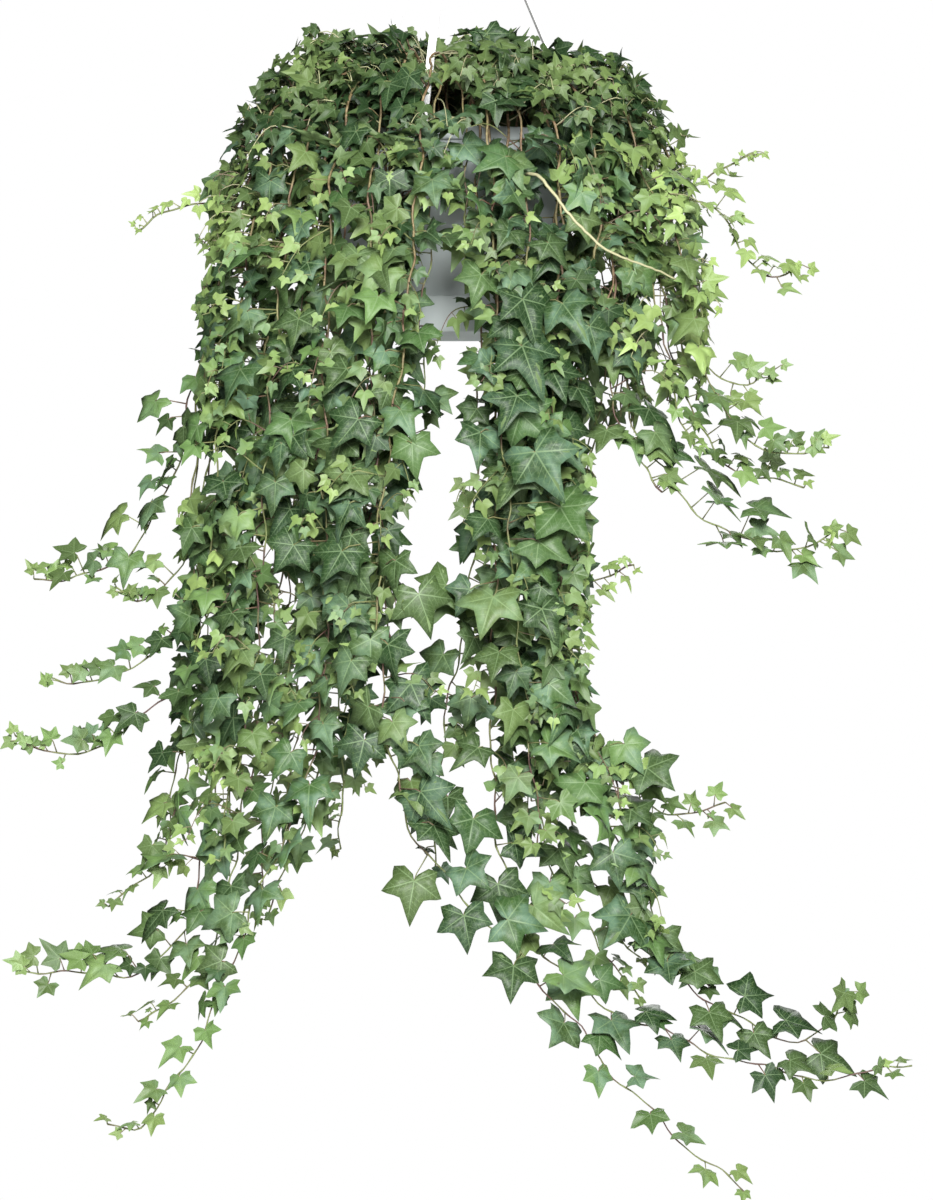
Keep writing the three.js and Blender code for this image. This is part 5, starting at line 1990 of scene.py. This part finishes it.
    def add_stem(self, shell: Shell) -> None:
        """Adds the runner's own stem, rooted in the soil, with a small swelling at each leaf.

        Args:
            shell: the mesh to add to.
        """
        thick = self.habit.base_radius
        root = self.line[0] if self.root is None else self.root - [0, 0, ROOT_DEPTH + COLLAR]
        line = np.vstack([root + [0, 0, 1e-3], self.line])
        share = np.concatenate([[0], self.along / self.length])
        radii = thick + (self.tip_radius - thick) * share**0.6
        for _, _, distance in self.places():
            near = np.exp(-(((self.along - distance) / self.node_length) ** 2))
            radii[1:] += self.node_swelling * near
        radii[0] = thick
        points, faces = tube(line, radii, self.stem_sides)
        tone = np.zeros((len(points), 4))
        soft = np.clip(share * 1.6 - 0.1, 0, 1)
        tone[: len(line) * self.stem_sides, 0] = np.repeat(soft, self.stem_sides)
        tone[-1, 0] = 1
        shell.add(np.clip(points, LOWEST, HIGHEST), faces, tone=tone)

    def add_twig(
        self, shell: Shell, line: Array, radii: Sequence[float], sides: int, tone: Sequence[float]
    ) -> None:
        """Adds a thin stem from its first radius to its last; tone is how soft and how bleached."""
        points, faces = tube(line, np.linspace(*radii, len(line)), sides)
        shell.add(points, faces, tone=np.tile([*tone, 0, 0], (len(points), 1)))

    def spur(self, distance: float) -> tuple[Array, list[Leaf]]:
        """A side shoot with small leaves.

        Args:
            distance: how far along the runner it grows.

        Returns:
            The line of its stem, and its leaves.
        """
        rng = self.rng
        point, heading = self.point_at(distance), self.heading_at(distance)
        outward = outward_at(point)
        side = unit(np.cross(heading, outward) + TINY)
        climb = 0.7 if point[2] > CROWN_FROM else 0.1
        way = unit(side * rng.normal(0, 0.9) + outward * rng.uniform(0.2, 1.0) + UP * rng.normal(climb, 0.5))
        length = rng.uniform(*self.spur_length)
        tip = point + way * length * 0.85 - UP * length * rng.uniform(0.2, 0.55)
        line = curve_through([point, point + way * length * 0.5, tip], self.spur_bend)
        leaves = []
        at = length * rng.uniform(0.15, 0.35)
        glow = within(FLUSH, point)
        while at < length:
            share = at / length
            i = min(int(share * (len(line) - 1)), len(line) - 2)
            start = line[i]
            ahead = unit(line[i + 1] - line[i])
            size = lerp(self.spur_leaf[1], self.spur_leaf[0], share) * rng.uniform(0.8, 1.2)
            hand = 1 if len(leaves) % 2 else -1
            across = unit(np.cross(ahead, outward) + TINY) * hand
            stalk = unit(across * 0.8 + outward * 0.4 + ahead * 0.3)
            facing = unit(outward + UP * rng.uniform(-0.1, 0.9) + across * rng.normal(0, 0.3))
            pointing = across * 0.5 + ahead * 0.7 - UP * rng.uniform(0.0, 0.6)
            midrib = unit(pointing - facing * np.dot(pointing, facing))
            # Painted shade: leaves of side shoots above the rim are drawn less young, so darker.
            dim = 0.2 if start[2] > CROWN_FROM else 0.85
            youth = dim * rng.uniform(0.0, 0.7) + 0.45 * glow + 0.2 * share * dim
            youth = float(np.clip(youth, 0, 1))
            foot = start + stalk * size * rng.uniform(0.3, 0.6)
            leaf = Leaf(start, foot, stalk, midrib, facing, size, youth)
            leaves.append(leaf.shaken(rng, self.spur_turn))
            at += size * rng.uniform(*self.spur_gaps)
        return line, leaves

    def spurs(self) -> list[float]:
        """Places the runner's side shoots.

        Returns:
            Their distances along the runner.
        """
        out = []
        step = self.habit.spur_step
        at = self.spur_from + self.rng.uniform(0, step)
        while at < self.length * self.spur_last:
            point = self.point_at(at)
            if point[2] < self.spur_down_to:
                break
            sparse = 1.0 if point[2] > THICK_DOWN_TO else self.spur_sparser_low
            if point[2] > CROWN_FROM:
                sparse = self.spur_closer_high
            if math.hypot(point[0], point[1]) > self.spur_out:
                sparse = self.spur_sparser_out
            out.append(at)
            at += step * self.rng.uniform(0.55, 1.45) * sparse * (1 - 0.4 * within(FLUSH, point))
        return out

    def build(self, plans: dict[str, Blade]) -> tuple[bpy.types.Object, bpy.types.Object]:
        """Grows the runner.

        Args:
            plans: the kinds of blade, large and small.

        Returns:
            The piece with its stem and stalks, and the piece with its leaves.
        """
        wood, green = Shell(), Shell()
        self.grow(wood, green, plans)
        for count, fork in enumerate(self.habit.forks, 1):
            self.forked(fork, self.number + 100 * count).grow(wood, green, plans)
        return wood.build(self.name + "_stem"), green.build(self.name + "_leaves")

    def grow(self, wood: Shell, green: Shell, plans: dict[str, Blade]) -> None:
        """Adds the stem, its side shoots and all their leaves.

        Args:
            wood: the mesh for stems and stalks.
            green: the mesh for blades.
            plans: the kinds of blade, large and small.
        """
        self.add_stem(wood)
        if self.habit.branch:
            line = curve_through(self.habit.branch, 5.0)
            line = line + self.rng.normal(0, 0.5, line.shape)
            self.add_twig(wood, line, (1.6, 0.8), 6, (0, 0.8))
        for leaf in self.large_leaves():
            leaf.add_stalk(wood, self.leaf_stalk, 3)
            leaf.add_blade(green, plans["large" if leaf.size > THICK_FROM else "middling"], self.rng)
        for distance in self.spurs():
            line, leaves = self.spur(distance)
            kept = [leaf for leaf in leaves if not beyond(leaf.centre, leaf.size, False)]
            if len(kept) < 2 or (line < LOWEST + 1).any() or (line > HIGHEST - 1).any():
                continue
            last = int(np.argmin(np.linalg.norm(line - kept[-1].root, axis=1)))
            line = line[: max(last, 1) + 1]
            if any(z > mound_at(x) - BARE_BELOW_TOP for x, _, z in line):
                continue
            pale = 0.7 if line[0][2] > CROWN_FROM else 0.8 * within(FLUSH, line[0])
            self.add_twig(wood, line, (0.7, 0.4), 4, (0.9, pale))
            for leaf in kept:
                leaf.add_stalk(wood, self.spur_stalk, 2)
                leaf.add_blade(green, plans["small"], self.rng)


@dataclass(frozen=True)
class Lamp:
    """A square soft light that points at the plant."""

    name: str
    place: Point
    size: float
    power: float
    aim: Point = (0.0, 0.0, -0.6)

    def build(self) -> None:
        """Makes the light."""
        light = bpy.data.lights.new(self.name, "AREA")
        light.size = self.size
        light.energy = self.power
        thing = bpy.data.objects.new(self.name, light)
        thing.location = self.place
        way = Vector(np.array(self.aim) - np.array(self.place))
        thing.rotation_euler = way.to_track_quat("-Z", "Y").to_euler()
        bpy.context.scene.collection.objects.link(thing)


@dataclass
class Studio:
    """Pale floor, white surroundings, soft lights and a level long-lens camera."""

    distance: float = 5.0
    pixel: float = 0.0009
    picture: tuple[int, int] = (933, 1200)
    middle: tuple[float, float] = (0.0095, -0.717)
    sensor: float = 36.0
    glow_below: float = 0.085
    glow_above: float = 0.07
    floor_drop: float = 0.24
    floor_radius: float = 1.9
    floor_edge: float = 6.0
    lamps: Sequence[Lamp] = (
        Lamp("key_light", (0.35, -3.9, 0.8), 1.2, 354.0),
        Lamp("fill_light", (-1.4, -4.3, -0.4), 1.4, 66.0),
        Lamp("back_light", (0.6, 3.4, 0.9), 2.4, 85.0),
    )

    def floor(self) -> None:
        """A round pale floor with a soft edge, under the plant."""
        low = (CAD_BOX[0][2] - self.floor_drop) / MM + HANG_HEIGHT
        radius = self.floor_radius / MM
        inner = radius - self.floor_edge
        profile = [(0.0, low - 2), (inner, low - 2), (radius, low - 1), (inner, low), (0.0, low)]
        piece = solid("floor", *turned(rounded(profile, 3.0), 96))
        material, n = new_material("pale_floor")
        cloud = n.mix(n.noise(n.place(), 3.0), rgb(0.80, 0.80, 0.79), rgb(0.84, 0.84, 0.83))
        n.feed(n.shader, {"Base Color": cloud, "Roughness": 0.7})
        piece.data.materials.append(material)

    def world(self) -> None:
        """White surroundings."""
        world = bpy.data.worlds.new("white_room")
        world.use_nodes = True
        n = Nodes(world.node_tree)
        height = n.add("SeparateXYZ", {0: n.add("TexCoord").outputs["Generated"]}).outputs[2]
        soft = n.ramp(height, -0.8, 0.9, (self.glow_below, self.glow_above))
        seen = n.add("LightPath").outputs["Is Camera Ray"]
        back = n.add("Background", {"Color": rgb(1.0, 1.0, 1.0), "Strength": n.larger(soft, seen)})
        n.add("OutputWorld", {0: back.outputs[0]})
        bpy.context.scene.world = world

    def camera(self) -> None:
        """The camera, level, on the photo's side."""
        data = bpy.data.cameras.new("camera")
        data.sensor_width = self.sensor
        data.lens = self.sensor * self.distance / (self.pixel * self.picture[1])
        data.clip_end = 100.0
        thing = bpy.data.objects.new("camera", data)
        thing.location = (self.middle[0], -self.distance, self.middle[1])
        thing.rotation_euler = (math.pi / 2, 0.0, 0.0)
        bpy.context.scene.collection.objects.link(thing)
        bpy.context.scene.camera = thing

    def build(self) -> None:
        """Sets up the studio."""
        self.floor()
        self.world()
        for lamp in self.lamps:
            lamp.build()
        self.camera()
        bpy.context.scene.view_settings.view_transform = "Standard"


def build_holder(groups: Groups) -> None:
    """Builds the pot, saucer, soil and hanger.

    Args:
        groups: the shared node groups.
    """
    grey = PlasticFinish(
        "pot_grey_plastic", groups, rgb(0.42, 0.465, 0.46), rgb(0.50, 0.54, 0.53), 0.5, (0.55, 0.72)
    ).make()
    white = PlasticFinish(
        "hanger_white_plastic", groups, rgb(0.93, 0.93, 0.92), rgb(0.82, 0.81, 0.79), 0.2, (0.34, 0.5)
    ).make()
    finish_piece(Pot().build(), grey, Slot.POT, "pot")
    finish_piece(Saucer().build(), grey, Slot.POT, "saucer")
    finish_piece(Soil().build(), SoilFinish().make(), Slot.SOIL, "soil")
    hanger = Hanger()
    finish_piece(hanger.hub(), white, Slot.HANGER, "hook")
    finish_piece(hanger.hook(), white, Slot.HANGER, "hook")
    for number, angle in enumerate(STRAP_ANGLES, 1):
        finish_piece(hanger.strap(number, angle), white, Slot.HANGER, f"strap_{number}")


def build_runners(groups: Groups) -> None:
    """Grows every runner and shoot.

    Args:
        groups: the shared node groups.
    """
    plans = {
        "large": Blade(thick=True),
        "middling": Blade(),
        "small": Blade(SMALL, SMALL, (0.55, 1.0)),
    }
    bark = StemFinish().make()
    leafy = LeafFinish("ivy_blade", groups).make()
    tender = LeafFinish("ivy_blade_young", groups, old=rgb(0.100, 0.160, 0.042)).make()
    runners = [Runner.from_course(course, i) for i, course in enumerate(COURSES)]
    runners += [Runner.from_shoot(shoot, len(COURSES) + i) for i, shoot in enumerate(SHOOTS)]
    for runner in runners:
        young = runner.leaf < YOUNG_BELOW
        slot = Slot.YOUNG if young else Slot.LEAF
        stem, leaves = runner.build(plans)
        finish_piece(stem, bark, slot, runner.name)
        finish_piece(leaves, tender if young else leafy, slot, runner.name)


def main() -> None:
    """Builds the whole plant and its studio."""
    logging.basicConfig(level=logging.INFO, format="%(message)s")
    groups = Groups()
    build_holder(groups)
    build_runners(groups)
    Studio().build()
    bpy.context.view_layer.update()


if __name__ == "__main__":
    main()
